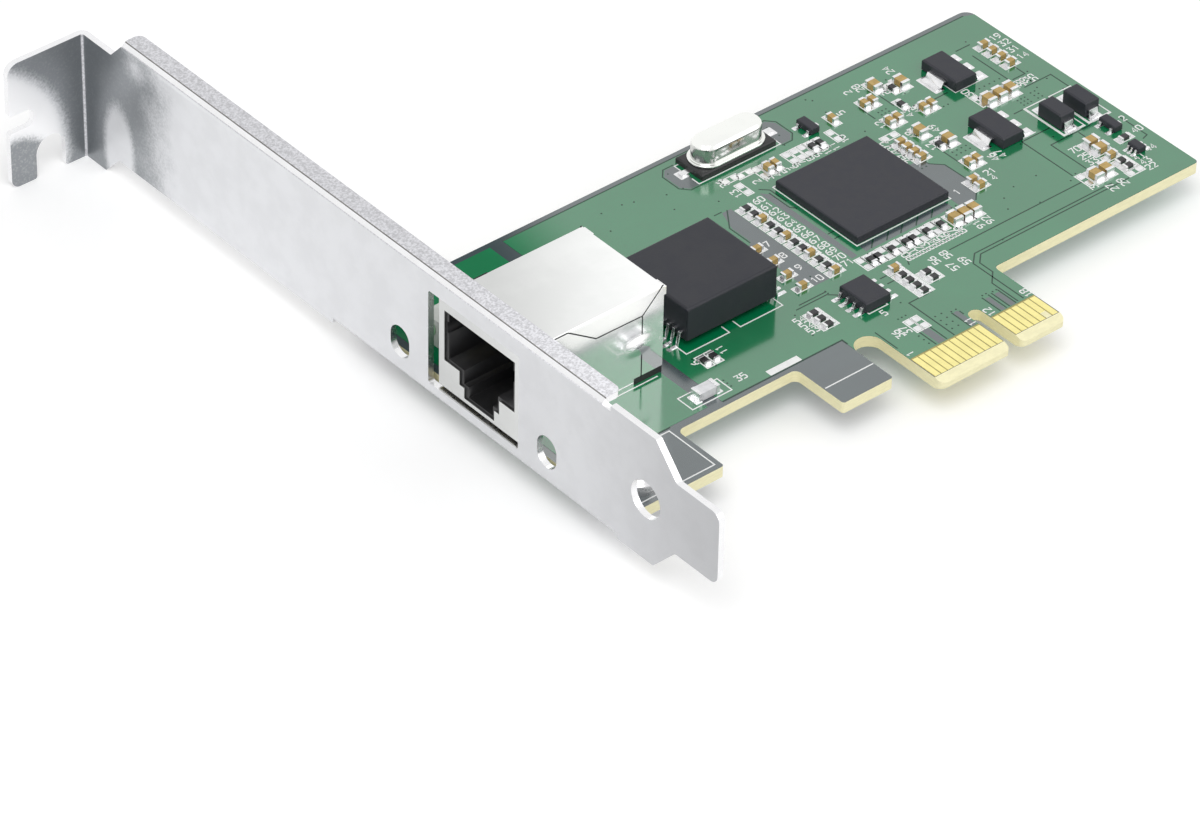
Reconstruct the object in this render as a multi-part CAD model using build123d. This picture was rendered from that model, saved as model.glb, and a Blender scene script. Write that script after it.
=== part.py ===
from build123d import *
import os

# A single-port network card with its full-height bracket, in millimetres.
# The origin is on the centre line of the key notch, at the finger tips, on the component face.
# +X runs away from the bracket, +Y from the fingers to the bracket's flange, +Z out of the face.

# Circuit board
board_thick = 1.57
board_wide = 42.15
board_lift = 12.79
key_to_front = 57.28
key_to_far = 42.42
tab_drop = 8.4
corner_tab_wide = 14.93
hook_wide = 7.9
hook_gap = 3.8
hook_gap_rise = 12.6
far_corner_round = 1.5
front_corner_round = 0.6
tab_root_round = 0.9
tab_corner_round = 0.4
tip_round = 1.0
key_tip_round = 0.8
bevel_long = 1.3
bevel_deep = 0.4

# Kept between two rounded corners that would otherwise touch
tangent_gap = 0.01

# Edge fingers
finger_pitch = 1.0
finger_wide = 0.84
finger_long = 4.13
finger_thick = 0.04
finger_setback = 1.37
short_finger_cut = 1.2
fingers_before_key = 11
fingers_after_key = 7
key_pitch = 3.0
key_wide = 1.9
key_deep = 8.2
tab_margin = 0.6

# Bracket sheet
sheet = 0.86
bend_inside = 0.3
bracket_long = 120.02
bracket_wide = 18.42
seat_rise = 106.0
plate_gap = 0.6
flange_reach = 11.43
flange_shift = 2.99
neck_high = 5.8
neck_low = 3.98
neck_slope = 2.75
tongue_wide = 10.19
tongue_long = 7.35
taper_long = 3.75
tongue_round = 1.3
taper_round = 0.6
sheet_round = 0.4
rim_deep = 3.0
rim_round = 1.0
relief_wide = 1.5
relief_deep = 0.75
high_rim_end = 8.0
low_rim_margin = 0.4
low_rim_end = 1.5

# Cuts in the bracket's flange
screw_slot_wide = 4.42
screw_slot_reach = 5.4
screw_slot_tall = 5.6
lobe_round = 1.3
pin_notch_wide = 2.5
pin_notch_deep = 3.6
pin_notch_z = 4.15
notch_round = 0.9
flange_chamfer = 1.6

# Bracket screws and their tabs
screw_radius = 1.5
screw_gap = 0.2
thread_gap = 0.03
screw_long = 4.0
head_radius = 2.9
head_tall = 1.9
head_edge = 0.7
head_edge_tall = 0.55
cross_long = 3.0
cross_wide = 0.7
cross_deep = 1.1
screw_inset = 4.2
screw_from_front = 5.14
screw_tab_reach = 3.8
screw_tab_half = 4.1
screw_tab_round = 1.0

# Holes in the bracket's plate
window_near_gap = 0.3
window_far_gap = 1.35
window_top_gap = 0.15
window_foot = 0.4
window_round = 0.4
light_hole_wide = 3.5
light_hole_tall = 4.5
light_z = 2.4
light_high_offset = 14.1
light_low_offset = 12.96
vent_radius = 2.55
vent_rise = 12.63
vent_z = 6.33

# Network jack
jack_wide = 14.9
jack_tall = 13.0
jack_deep = 21.9
jack_recess = 0.5
jack_rise = 17.1
jack_round = 0.5
shield_thick = 0.25
shield_gap = 0.05
shield_rear = 4.4
shield_lift = 0.95
ear_wide = 1.7
ear_tall = 1.2
ear_thick = 0.35
shield_tail_wide = 1.6
shield_tail_place = 12.0
tail_through = 1.0
tail_slot_gap = 0.3
port_wide = 11.8
port_low = 4.3
port_high = 11.05
port_deep = 14.0
port_margin = 0.55
latch_wide = 6.2
latch_low = 2.3
key_slot_wide = 4.4
key_slot_low = 0.8
peg_radius = 1.55
peg_gap = 0.1
peg_spread = 11.43
peg_place = 8.2
peg_long = 1.4
side_nick_wide = 0.35
side_nick_low = 8.1
side_nick_tall = 1.6

# Jack contacts
contact_count = 8
contact_pitch = 1.02
contact_wide = 0.4
contact_thick = 0.3
contact_front = 3.4
contact_spring_long = 7.0
contact_spring_drop = 2.6
contact_turn = 0.5
contact_row_gap = 2.54
contact_row_place = 16.0
contact_ceiling = 0.55
groove_gap = 0.1
tail_hole_gap = 0.15

# Status lights
light_setback = 4.6
light_deep = 3.2
light_wide = 3.0
light_tall = 3.9
lens_radius = 1.1
lens_long = 0.5
lens_edge = 0.3

# Magnetics module
magnetics_gap = 5.25
magnetics_rise = 17.66
magnetics_long = 14.15
magnetics_wide = 12.7
magnetics_top = 5.6
magnetics_lift = 0.8
magnetics_edge = 0.25
magnetics_lead_high = 2.0
magnetics_lead_count = 12
magnetics_pitch = 1.0

# Controller chip; its place, like those below, is across and up the board's grid
chip_place = (63.2, 21.2)
chip_side = 15.0
chip_tall = 1.2
chip_edge = 0.15

# Crystal
crystal_place = (55.6, 37.8)
crystal_long = 10.4
crystal_wide = 4.0
crystal_top = 3.8
crystal_edge = 0.45
crystal_rim = 0.45
crystal_rim_thick = 0.35
crystal_base_long = 12.1
crystal_base_wide = 5.1
crystal_base_thick = 0.9
crystal_tail_wide = 0.9
crystal_tail_thick = 0.3
crystal_tail_long = 1.4

# Regulators
regulator_places = ((88.2, 32.7), (84.5, 20.1))
regulator_long = 6.4
regulator_wide = 3.45
regulator_top = 1.65
regulator_lead_pitch = 2.3
regulator_lead_wide = 0.75
regulator_tab_wide = 3.0
regulator_lead_high = 0.8

# Block diodes
diode_places = ((92.3, 17.5), (96.5, 17.5))
diode_long = 4.05
diode_wide = 2.35
diode_top = 2.2
diode_lead_wide = 1.45
diode_lead_high = 1.0
diode_lead_reach = 0.9
diode_lead_foot = 0.55

# Memory chip
memory_place = (49.2, 5.2)
memory_long = 4.9
memory_wide = 3.9
memory_top = 1.5
memory_lead_count = 4
memory_pitch = 1.27
memory_lead_high = 0.7

# Transistors and the six-lead chip
transistor_places = ((96.6, 12.2), (67.0, 35.4))
transistor_long = 2.9
transistor_wide = 1.35
transistor_top = 1.0
transistor_pitch = 1.9
driver_place = (95.8, 6.7)
driver_long = 2.0
driver_wide = 1.25
driver_top = 0.95
driver_lead_count = 3
driver_pitch = 0.65

# Gull-wing leads
body_lift = 0.1
lead_thick = 0.2
lead_shoulder = 0.55
small_lead_wide = 0.4
small_lead_reach = 1.05
small_lead_foot = 0.5
large_lead_reach = 1.75
large_lead_foot = 0.9
tiny_lead_wide = 0.3
tiny_lead_reach = 0.6
tiny_lead_foot = 0.3
tiny_lead_high = 0.5

# Chamfers of moulded bodies
small_edge = 0.2
tiny_edge = 0.12

# Two-ended chip parts: length, width, height and length of each end cap
small_chip = (1.6, 0.8, 0.8, 0.35)
large_chip = (2.0, 1.25, 0.95, 0.45)
bulk_chip = (3.2, 1.6, 1.25, 0.5)
resistor_chip = (1.55, 0.8, 0.45, 0.33)
end_wrap = 0.03

# Chip parts in rows beside the magnetics and round the controller chip
column_gap = 5.75
column_pitch = 1.48
column_sets = 4
column_inset = 1.1
filter_gap = 3.05
filter_rows = (9.05, 6.05, 2.95, 0.15)
filter_shift = 0.5
row_gap = 3.45
row_pitch = 1.2
above_capacitor_start = -5.7
above_capacitor_count = 2
above_resistor_start = 1.65
above_resistor_count = 2
below_steps = (-7, -6, -4, -2, -1, 1, 3)
below_pitch = 1.14
below_shift = 0.35
large_start = 5.0
large_pitch = 1.55
large_drop = 0.3
large_count = 3
supply_gap = 3.0
supply_start = 4.6
supply_pitch = 1.3
supply_count = 4

# Other rows of capacitors: size, first place, step and count on the grid, and if they stand upright
capacitor_rows = (
    (small_chip, (75.7, 29.9), (1.3, 0), 2, True),
    (small_chip, (81.0, 29.5), (1.3, 0), 2, True),
    (small_chip, (75.7, 34.6), (1.3, 0), 2, True),
    (small_chip, (77.5, 17.4), (1.3, 0), 2, True),
    (small_chip, (70.5, 34.8), (0, 0), 1, True),
    (small_chip, (96.0, 34.7), (0, -1.65), 4, False),
    (small_chip, (75.4, 14.5), (0, -1.4), 2, False),
    (small_chip, (92.2, 7.5), (0, 0), 1, False),
    (small_chip, (55.7, 7.1), (0, 0), 1, False),
    (large_chip, (88.4, 25.6), (1.85, 0), 3, True),
    (large_chip, (87.8, 5.7), (1.8, 0.1), 2, True),
    (large_chip, (77.2, 26.0), (0, 0), 1, True),
    (large_chip, (78.8, 22.6), (0, 0), 1, True),
    (large_chip, (79.2, 36.7), (0, 0), 1, True),
    (large_chip, (82.4, 35.2), (0, 0), 1, True),
    (large_chip, (92.1, 11.0), (0, -1.7), 2, False),
)

# Other rows of resistors, in the same way
resistor_rows = (
    (resistor_chip, (55.7, 5.7), (0, -1.3), 4, False),
    (resistor_chip, (58.4, 4.3), (0, -1.3), 2, False),
    (resistor_chip, (42.3, 6.7), (0, -1.35), 3, False),
    (resistor_chip, (92.5, 6.0), (0, -1.3), 2, False),
    (resistor_chip, (96.2, 9.3), (0, 0), 1, False),
    (resistor_chip, (77.4, 22.6), (0, 0), 1, True),
    (resistor_chip, (79.4, 31.8), (0, 0), 1, True),
    (resistor_chip, (80.9, 35.1), (0, 0), 1, True),
    (resistor_chip, (26.1, 7.9), (1.4, 0), 2, True),
)
bulk_place = (22.0, 3.1)

# Planes and edges that follow from the sizes above
board_front = -key_to_front
board_far = key_to_far
board_low = board_lift
board_high = board_lift + board_wide
board_under = -board_thick
tab_low = board_low - tab_drop
plate_in = board_front - plate_gap
plate_out = plate_in - sheet
plate_low = board_under - sheet
plate_high = plate_low + bracket_wide
plate_mid = (plate_low + plate_high) / 2
flange_low = plate_low - flange_shift
flange_high = plate_high - flange_shift
tongue_tip = seat_rise + sheet - bracket_long
fingers_left = -key_pitch / 2 - (fingers_before_key - 1) * finger_pitch - tab_margin
fingers_right = key_pitch / 2 + (fingers_after_key - 1) * finger_pitch + tab_margin
grid_x = (key_to_front + key_to_far) / 100
grid_y = board_wide / 42
jack_y = board_low + jack_rise * grid_y
jack_front = plate_out + jack_recess
jack_back = jack_front + jack_deep
light_places = (jack_y + light_high_offset, jack_y - light_low_offset)
screw_x = board_front + screw_from_front
screw_places = (board_high - screw_inset, (tab_low + board_low) / 2)
body_centre = jack_back + magnetics_gap + magnetics_long / 2
magnetics_y = board_low + magnetics_rise * grid_y
chip_x = board_front + chip_place[0] * grid_x
chip_y = board_low + chip_place[1] * grid_y


def spot(across, up):
    """Place on the board, in steps of a grid of 100 along it and 42 up it."""
    return (board_front + across * grid_x, board_low + up * grid_y)


def outline(corners):
    """Closed flat face from rows of x, y and corner radius."""
    points = [(x, y) for x, y, _ in corners]
    radii = [radius for _, _, radius in corners]
    return make_face(FilletPolyline(*points, radius=radii, close=True))


def slab(face, low, high):
    """Flat face in X and Y made solid from one height to another."""
    return extrude(Pos(0, 0, low) * face, amount=high - low)


def block(x, y, z):
    """Box between pairs of limits along each axis."""
    middle = Pos(sum(x) / 2, sum(y) / 2, sum(z) / 2)
    return middle * Box(x[1] - x[0], y[1] - y[0], z[1] - z[0])


def along_x(face, low, high):
    """Face drawn in Y and Z made solid between two places along X."""
    return extrude(Plane(origin=(low, 0, 0), x_dir=(0, 1, 0), z_dir=(1, 0, 0)) * face, amount=high - low)


def along_y(face, low, high):
    """Face drawn in X and Z made solid between two places along Y."""
    return extrude(Plane(origin=(0, high, 0), x_dir=(1, 0, 0), z_dir=(0, -1, 0)) * face, amount=high - low)


def solids_of(shapes):
    """Flat list of the solids in several shapes."""
    return [solid for shape in shapes for solid in shape.solids()]


def board_outline():
    """Board edge with the corner tab, the hook tab and the finger tab with its key notch."""
    corner_right = board_front + corner_tab_wide
    hook_right = fingers_left - hook_gap
    hook_left = hook_right - hook_wide
    corners = [
        (board_front, tab_low, front_corner_round),
        (corner_right, tab_low, tab_corner_round),
        (corner_right, board_low, tab_root_round),
        (hook_left, board_low, tab_root_round),
        (hook_left, tab_low, tab_corner_round),
        (hook_right, tab_low, tab_corner_round),
        (hook_right, hook_gap_rise, hook_gap / 2 - tangent_gap),
        (fingers_left, hook_gap_rise, hook_gap / 2 - tangent_gap),
        (fingers_left, 0, tip_round),
        (-key_wide / 2, 0, key_tip_round),
        (-key_wide / 2, key_deep, key_wide / 2 - tangent_gap),
        (key_wide / 2, key_deep, key_wide / 2 - tangent_gap),
        (key_wide / 2, 0, key_tip_round),
        (fingers_right, 0, tip_round),
        (fingers_right, board_low, front_corner_round),
        (board_far, board_low, front_corner_round),
        (board_far, board_high, far_corner_round),
        (board_front, board_high, front_corner_round),
    ]
    return outline(corners)


def finger_places():
    """Centre lines of the fingers, from the bracket end to the far end."""
    before = [-key_pitch / 2 - finger_pitch * step for step in reversed(range(fingers_before_key))]
    after = [key_pitch / 2 + finger_pitch * step for step in range(fingers_after_key)]
    return before + after


def circuit_board():
    """Board with bevelled finger tips and the holes for screws, pegs and tails."""
    board = slab(board_outline(), board_under, 0)
    for face, side in ((0, -1), (board_under, 1)):
        wedge = [(0, face), (bevel_long, face), (0, face + side * bevel_deep)]
        cut = along_x(make_face(Polyline(*wedge, close=True)), fingers_left, fingers_right)
        board -= cut
    for y in screw_places:
        board -= slab(Pos(screw_x, y) * Circle(screw_radius + screw_gap), board_under, 0)
    for side in (-1, 1):
        peg = Pos(jack_front + peg_place, jack_y + side * peg_spread / 2) * Circle(peg_radius + peg_gap)
        board -= slab(peg, board_under, 0)
        tail = Pos(*shield_tail_centre(side)) * Rectangle(
            shield_tail_wide + tail_slot_gap, shield_thick + tail_slot_gap
        )
        board -= slab(tail, board_under, 0)
    for x, y in contact_tails():
        board -= slab(Pos(x, y) * Circle(contact_wide / 2 + tail_hole_gap), board_under, 0)
    return board


def edge_contacts():
    """Plated fingers on both faces; the last but one, or the first behind, is shorter."""
    places = finger_places()
    fingers = []
    for face, short in ((0, len(places) - 2), (board_under - finger_thick, 0)):
        for index, x in enumerate(places):
            low = finger_setback + (short_finger_cut if index == short else 0)
            limits = (x - finger_wide / 2, x + finger_wide / 2)
            high = finger_setback + finger_long
            fingers.append(block(limits, (low, high), (face, face + finger_thick)))
    return fingers


def bend_section():
    """Quarter ring of bent sheet with its centre at the origin, in the upper left quarter."""
    outside = bend_inside + sheet
    ring = Circle(outside) - Circle(bend_inside)
    return ring & Pos(-outside / 2, outside / 2) * Rectangle(outside, outside)


def bracket_plate():
    """Flat plate with its tapered tongue and the neck that leads to the flange."""
    neck_top = seat_rise - bend_inside
    taper_end = tongue_tip + tongue_long
    full_width = taper_end + taper_long
    tongue_low = plate_mid - tongue_wide / 2
    tongue_high = plate_mid + tongue_wide / 2
    corners = [
        (neck_top, flange_low, 0),
        (neck_top, flange_high, 0),
        (seat_rise - neck_high, flange_high, sheet_round),
        (seat_rise - neck_high - neck_slope, plate_high, sheet_round),
        (full_width, plate_high, sheet_round),
        (taper_end, tongue_high, taper_round),
        (tongue_tip, tongue_high, tongue_round),
        (tongue_tip, tongue_low, tongue_round),
        (taper_end, tongue_low, taper_round),
        (full_width, plate_low, sheet_round),
        (seat_rise - neck_low - neck_slope, plate_low, sheet_round),
        (seat_rise - neck_low, flange_low, sheet_round),
    ]
    return along_x(outline(corners), plate_out, plate_in)


def plate_holes():
    """Cuts through the plate: jack window, two light holes and a round vent."""
    window_y = (jack_y - jack_wide / 2 - window_near_gap, jack_y + jack_wide / 2 + window_far_gap)
    window_z = (-window_foot, jack_tall + window_top_gap)
    low, high = window_z
    corners = [
        (window_y[0], low, window_round),
        (window_y[1], low, window_round),
        (window_y[1], high, window_round),
        (window_y[0], high, window_round),
    ]
    cuts = outline(corners)
    stretch = light_hole_tall - light_hole_wide
    for y in light_places:
        cuts += Pos(y, light_z) * SlotCenterToCenter(stretch, light_hole_wide, rotation=90)
    cuts += Pos(tongue_tip + vent_rise, vent_z) * Circle(vent_radius)
    return along_x(cuts, plate_out - sheet, plate_in + sheet)


def high_rim():
    """Rim bent along the plate's upper long side, with rounded corners."""
    outside = bend_inside + sheet
    low = tab_low + low_rim_end + relief_wide
    high = seat_rise - high_rim_end
    section = Pos(plate_out + outside, plate_high - outside) * bend_section()
    strip = (plate_out + outside, plate_out + rim_deep)
    corners = [
        (strip[0], low, 0),
        (strip[1], low, rim_round),
        (strip[1], high, rim_round),
        (strip[0], high, 0),
    ]
    return along_y(section, low, high) + slab(outline(corners), plate_high - sheet, plate_high), low, high


def low_rim():
    """Rim bent along the lower long side, with two screw tabs that reach under the board."""
    outside = bend_inside + sheet
    low = tab_low + low_rim_end
    high = board_high + low_rim_margin
    section = Pos(plate_out + outside, plate_low + outside) * mirror(bend_section(), Plane.XZ)
    start = plate_out + outside
    edge = plate_out + rim_deep
    tip = screw_x + screw_tab_reach
    high_tab = screw_places[0] - screw_tab_half
    low_tab = screw_places[1] + screw_tab_half
    corners = [
        (start, low, 0),
        (tip, low, screw_tab_round),
        (tip, low_tab, screw_tab_round),
        (edge, low_tab, sheet_round),
        (edge, high_tab, sheet_round),
        (tip, high_tab, screw_tab_round),
        (tip, high, screw_tab_round),
        (start, high, 0),
    ]
    rim = along_y(section, low, high) + slab(outline(corners), plate_low, board_under)
    for y in screw_places:
        rim -= slab(Pos(screw_x, y) * Circle(screw_radius + thread_gap), plate_low, board_under)
    return rim, low, high


def bracket_flange():
    """Flange that seats on the chassis, with its screw slot and pin notch."""
    edge = plate_out - flange_reach
    start = plate_out - bend_inside
    slot_centre = plate_out - screw_slot_reach
    slot_low = slot_centre - screw_slot_wide / 2
    slot_high = slot_centre + screw_slot_wide / 2
    slot_top = flange_low + screw_slot_tall
    notch_in = edge + pin_notch_deep
    corners = [
        (start, flange_low, 0),
        (slot_high, flange_low, sheet_round),
        (slot_high, slot_top, screw_slot_wide / 2 - tangent_gap),
        (slot_low, slot_top, screw_slot_wide / 2 - tangent_gap),
        (slot_low, flange_low, sheet_round),
        (edge, flange_low, lobe_round),
        (edge, pin_notch_z - pin_notch_wide / 2, sheet_round),
        (notch_in, pin_notch_z - pin_notch_wide / 2, notch_round),
        (notch_in, pin_notch_z + pin_notch_wide / 2, notch_round),
        (edge, pin_notch_z + pin_notch_wide / 2, sheet_round),
        (edge, flange_high, flange_chamfer),
        (start, flange_high, 0),
    ]
    flat = along_y(outline(corners), seat_rise, seat_rise + sheet)
    bend_plane = Plane(origin=(start, seat_rise - bend_inside, flange_low))
    bend = extrude(bend_plane * mirror(bend_section(), Plane.YZ), amount=flange_high - flange_low)
    return flat + bend


def bracket():
    """One sheet: plate, flange, two rims, screw tabs, relief notches and holes."""
    outside = bend_inside + sheet
    body = bracket_plate()
    across = (plate_out - sheet, plate_in + sheet)
    top_rim, top_low, top_high = high_rim()
    under_rim, under_low, under_high = low_rim()
    body -= block(across, (top_low, top_high), (plate_high - outside, plate_high + sheet))
    body -= block(across, (under_low, under_high), (plate_low - sheet, plate_low + outside))
    body = body + top_rim + under_rim
    for y, z, side in (
        (top_low - relief_wide / 2, plate_high, -1),
        (under_low - relief_wide / 2, plate_low, 1),
        (under_high + relief_wide / 2, plate_low, 1),
    ):
        limits = sorted((z - side * sheet, z + side * relief_deep))
        body -= block(across, (y - relief_wide / 2, y + relief_wide / 2), limits)
    body += bracket_flange()
    return body - plate_holes()


def bracket_screws():
    """Two pan-head screws that hold the board to the bracket's tabs."""
    head = Pos(0, 0, head_tall / 2) * Cylinder(head_radius, head_tall)
    head = chamfer(head.edges().sort_by(Axis.Z)[-1], head_edge_tall, head_edge)
    screw = head + Pos(0, 0, -screw_long / 2) * Cylinder(screw_radius, screw_long)
    for turn in (0, 90):
        arm = Rot(0, 0, turn) * Box(cross_long, cross_wide, cross_deep)
        screw -= Pos(0, 0, head_tall - cross_deep / 2) * arm
    return [Pos(screw_x, y, 0) * screw for y in screw_places]


def port_outline(margin):
    """Stepped mouth of the socket in Y and Z, grown by one margin sideways and half of it up and down."""
    steps = [
        (port_wide / 2, port_low),
        (latch_wide / 2, latch_low),
        (key_slot_wide / 2, key_slot_low),
    ]
    face = None
    for half, low in steps:
        width = 2 * (half + margin)
        middle = (low + port_high) / 2
        step = Pos(jack_y, middle) * Rectangle(width, port_high - low + margin)
        face = step if face is None else face + step
    return face


def shield_tail_centre(side):
    """Centre of the shield's solder tail on one side of the jack."""
    return (jack_front + shield_tail_place, jack_y + side * (jack_wide - shield_thick) / 2)


def jack_shield():
    """Folded shell of the jack with a stepped mouth, rear ears, raised rear foot and solder tails."""
    low, high = jack_y - jack_wide / 2, jack_y + jack_wide / 2
    shell = block((jack_front, jack_back), (low, high), (0, jack_tall))
    edges = shell.edges().filter_by(Axis.Y).group_by(Axis.Z)[-1]
    shell = fillet(edges + shell.edges().filter_by(Axis.X).group_by(Axis.Z)[-1], jack_round)
    shell -= block(
        (jack_front + shield_thick, jack_back - shield_thick),
        (low + shield_thick, high - shield_thick),
        (0, jack_tall - shield_thick),
    )
    for sides in ((low, low + ear_wide), (high - ear_wide, high)):
        ear_top = jack_tall - jack_round
        shell += block((jack_back, jack_back + ear_thick), sides, (ear_top - ear_tall, ear_top))
    shell -= block((jack_back - shield_rear, jack_back), (low, high), (0, shield_lift))
    shell -= along_x(port_outline(port_margin), jack_front, jack_front + shield_thick)
    for side in (-1, 1):
        x, y = shield_tail_centre(side)
        half = shield_tail_wide / 2
        limits = (y - shield_thick / 2, y + shield_thick / 2)
        shell += block((x - half, x + half), limits, (board_under - tail_through, 0))
    return shell


def jack_housing():
    """Moulded block inside the shield with the plug cavity, contact grooves and pegs."""
    inset = shield_thick + shield_gap
    half = jack_wide / 2 - inset
    front, back = jack_front + inset, jack_back - inset
    body = block((front, back), (jack_y - half, jack_y + half), (0, jack_tall - inset))
    foot = jack_wide / 2 - shield_gap
    rear = (jack_back - shield_rear + shield_gap, jack_back - shield_gap)
    body += block(rear, (jack_y - foot, jack_y + foot), (0, shield_lift - shield_gap))
    body -= along_x(port_outline(0), front, jack_front + port_deep)
    for side in (-1, 1):
        nick = jack_y + side * (port_wide + side_nick_wide) / 2
        sides = (nick - side_nick_wide / 2, nick + side_nick_wide / 2)
        levels = (side_nick_low, side_nick_low + side_nick_tall)
        body -= block((front, jack_front + port_deep), sides, levels)
        peg = Pos(jack_front + peg_place, jack_y + side * peg_spread / 2) * Circle(peg_radius)
        body += slab(peg, -peg_long, 0)
    groove = contact_wide / 2 + groove_gap
    reach = contact_thick / 2 + groove_gap
    ceiling = port_high + contact_ceiling + reach
    for x, y in contact_tails():
        sides = (y - groove, y + groove)
        body -= block((jack_front + contact_front - reach, x + reach), sides, (port_high, ceiling))
        body -= block((x - reach, x + reach), sides, (0, ceiling))
    return body


def contact_tails():
    """Places of the eight solder tails, in two staggered rows."""
    first = jack_y - (contact_count - 1) * contact_pitch / 2
    row = jack_front + contact_row_place
    return [
        (row + (index % 2) * contact_row_gap, first + index * contact_pitch)
        for index in range(contact_count)
    ]


def ribbon(points, thick):
    """Strip of even thickness that follows a bent line drawn in X and Z, with mitred bends."""
    line = [Vector(*point) for point in points]
    runs = [(after - before).normalized() for before, after in zip(line, line[1:])]
    left, right = [], []
    for index, point in enumerate(line):
        before = runs[max(index - 1, 0)]
        after = runs[min(index, len(runs) - 1)]
        first = Vector(-before.Y, before.X)
        second = Vector(-after.Y, after.X)
        mitre = (first + second) * (thick / 2 / (1 + first.dot(second)))
        left.append(point + mitre)
        right.append(point - mitre)
    corners = left + right[::-1]
    return make_face(Polyline(*corners, close=True))


def jack_contacts():
    """Spring wires: up from the board, along the ceiling and back down into the cavity."""
    level = port_high + contact_ceiling
    front = jack_front + contact_front
    turn = (front, level - contact_turn)
    tip = (front + contact_spring_long, level - contact_spring_drop)
    wires = []
    for x, y in contact_tails():
        points = [(x, board_under - tail_through), (x, level), (front, level), turn, tip]
        face = ribbon(points, contact_thick)
        wires.append(along_y(face, y - contact_wide / 2, y + contact_wide / 2))
    return wires


def status_lights():
    """Two side-facing lights behind the long holes: bodies and their lenses."""
    front = plate_out + light_setback
    bodies, lenses = [], []
    for y in light_places:
        limits = (y - light_wide / 2, y + light_wide / 2)
        bodies.append(block((front, front + light_deep), limits, (0, light_tall)))
        lens = Pos(front - lens_long / 2, y, light_z) * Rot(0, 90, 0) * Cylinder(lens_radius, lens_long)
        lenses.append(chamfer(lens.edges().sort_by(Axis.X)[0], lens_edge))
    return bodies, lenses


def package(centre, long_x, long_y, low, top, edge):
    """Moulded body with its upper edges chamfered."""
    x, y = centre
    body = block((x - long_x / 2, x + long_x / 2), (y - long_y / 2, y + long_y / 2), (low, top))
    return chamfer(body.edges().group_by(Axis.Z)[-1], edge)


def gull_lead(reach, height, foot, wide):
    """Lead that leaves a body at X zero and steps down to a flat foot on the board."""
    half = lead_thick / 2
    shoulder = (reach - foot) * lead_shoulder
    points = [(0, height), (shoulder, height), (reach - foot, half), (reach, half)]
    return along_y(ribbon(points, lead_thick), -wide / 2, wide / 2) & block(
        (0, 2 * reach), (-wide, wide), (0, 2 * height)
    )


def lead_row(lead, centre, half_body, count, pitch, side):
    """Row of like leads along one long side of a body; side is 1 for +X and -1 for -X."""
    x, y = centre
    turn = 0 if side == 1 else 180
    first = y - (count - 1) * pitch / 2
    return [
        Pos(x + side * half_body, first + index * pitch, 0) * Rot(0, 0, turn) * lead
        for index in range(count)
    ]


def magnetics():
    """Isolation module: a tall body with twelve leads along each end."""
    centre = (body_centre, magnetics_y)
    body = package(centre, magnetics_long, magnetics_wide, magnetics_lift, magnetics_top, magnetics_edge)
    lead = gull_lead(large_lead_reach, magnetics_lead_high, large_lead_foot, small_lead_wide)
    leads = []
    for side in (-1, 1):
        leads += lead_row(lead, centre, magnetics_long / 2, magnetics_lead_count, magnetics_pitch, side)
    return body, leads


def crystal():
    """Drawn can with its rim on an insulating base strip, and two flat solder tails."""
    x, y = spot(*crystal_place)
    base_top = crystal_base_thick
    base = package((x, y), crystal_base_long, crystal_base_wide, 0, base_top, small_edge)
    rim = SlotOverall(crystal_long + 2 * crystal_rim, crystal_wide + 2 * crystal_rim)
    can = slab(Pos(x, y) * rim, base_top, base_top + crystal_rim_thick)
    wall = slab(Pos(x, y) * SlotOverall(crystal_long, crystal_wide), base_top, crystal_top)
    can += chamfer(wall.edges().group_by(Axis.Z)[-1], crystal_edge)
    tails = []
    for side in (-1, 1):
        start = x + side * crystal_base_long / 2
        limits = sorted((start, start + side * crystal_tail_long))
        width = (y - crystal_tail_wide / 2, y + crystal_tail_wide / 2)
        tails.append(block(limits, width, (0, crystal_tail_thick)))
    return base, can, tails


def regulators():
    """Two voltage regulators, each with a wide heat tab and three leads."""
    bodies, leads = [], []
    half = regulator_wide / 2
    lead = gull_lead(large_lead_reach, regulator_lead_high, large_lead_foot, regulator_lead_wide)
    tab = gull_lead(large_lead_reach, regulator_lead_high, large_lead_foot, regulator_tab_wide)
    for place in regulator_places:
        centre = spot(*place)
        body = package(centre, regulator_wide, regulator_long, body_lift, regulator_top, small_edge)
        bodies.append(body)
        leads += lead_row(lead, centre, half, 3, regulator_lead_pitch, 1)
        leads += lead_row(tab, centre, half, 1, 0, -1)
    return bodies, leads


def diodes():
    """Two block diodes with a bent strap on each end."""
    bodies, leads = [], []
    strap = gull_lead(diode_lead_reach, diode_lead_high, diode_lead_foot, diode_lead_wide)
    for place in diode_places:
        x, y = spot(*place)
        bodies.append(package((x, y), diode_wide, diode_long, body_lift, diode_top, small_edge))
        for side in (-1, 1):
            end = y + side * diode_long / 2
            leads.append(Pos(x, end, 0) * Rot(0, 0, 90 * side) * strap)
    return bodies, leads


def memory_chip():
    """Small outline chip with four leads on each long side."""
    centre = spot(*memory_place)
    body = package(centre, memory_wide, memory_long, body_lift, memory_top, small_edge)
    lead = gull_lead(small_lead_reach, memory_lead_high, small_lead_foot, small_lead_wide)
    leads = []
    for side in (-1, 1):
        leads += lead_row(lead, centre, memory_wide / 2, memory_lead_count, memory_pitch, side)
    return body, leads


def transistors():
    """Two three-lead transistors: two leads towards the bracket, one away from it."""
    bodies, leads = [], []
    lead = gull_lead(tiny_lead_reach, tiny_lead_high, tiny_lead_foot, small_lead_wide)
    for place in transistor_places:
        centre = spot(*place)
        body = package(centre, transistor_wide, transistor_long, body_lift, transistor_top, tiny_edge)
        bodies.append(body)
        leads += lead_row(lead, centre, transistor_wide / 2, 2, transistor_pitch, -1)
        leads += lead_row(lead, centre, transistor_wide / 2, 1, 0, 1)
    return bodies, leads


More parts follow.
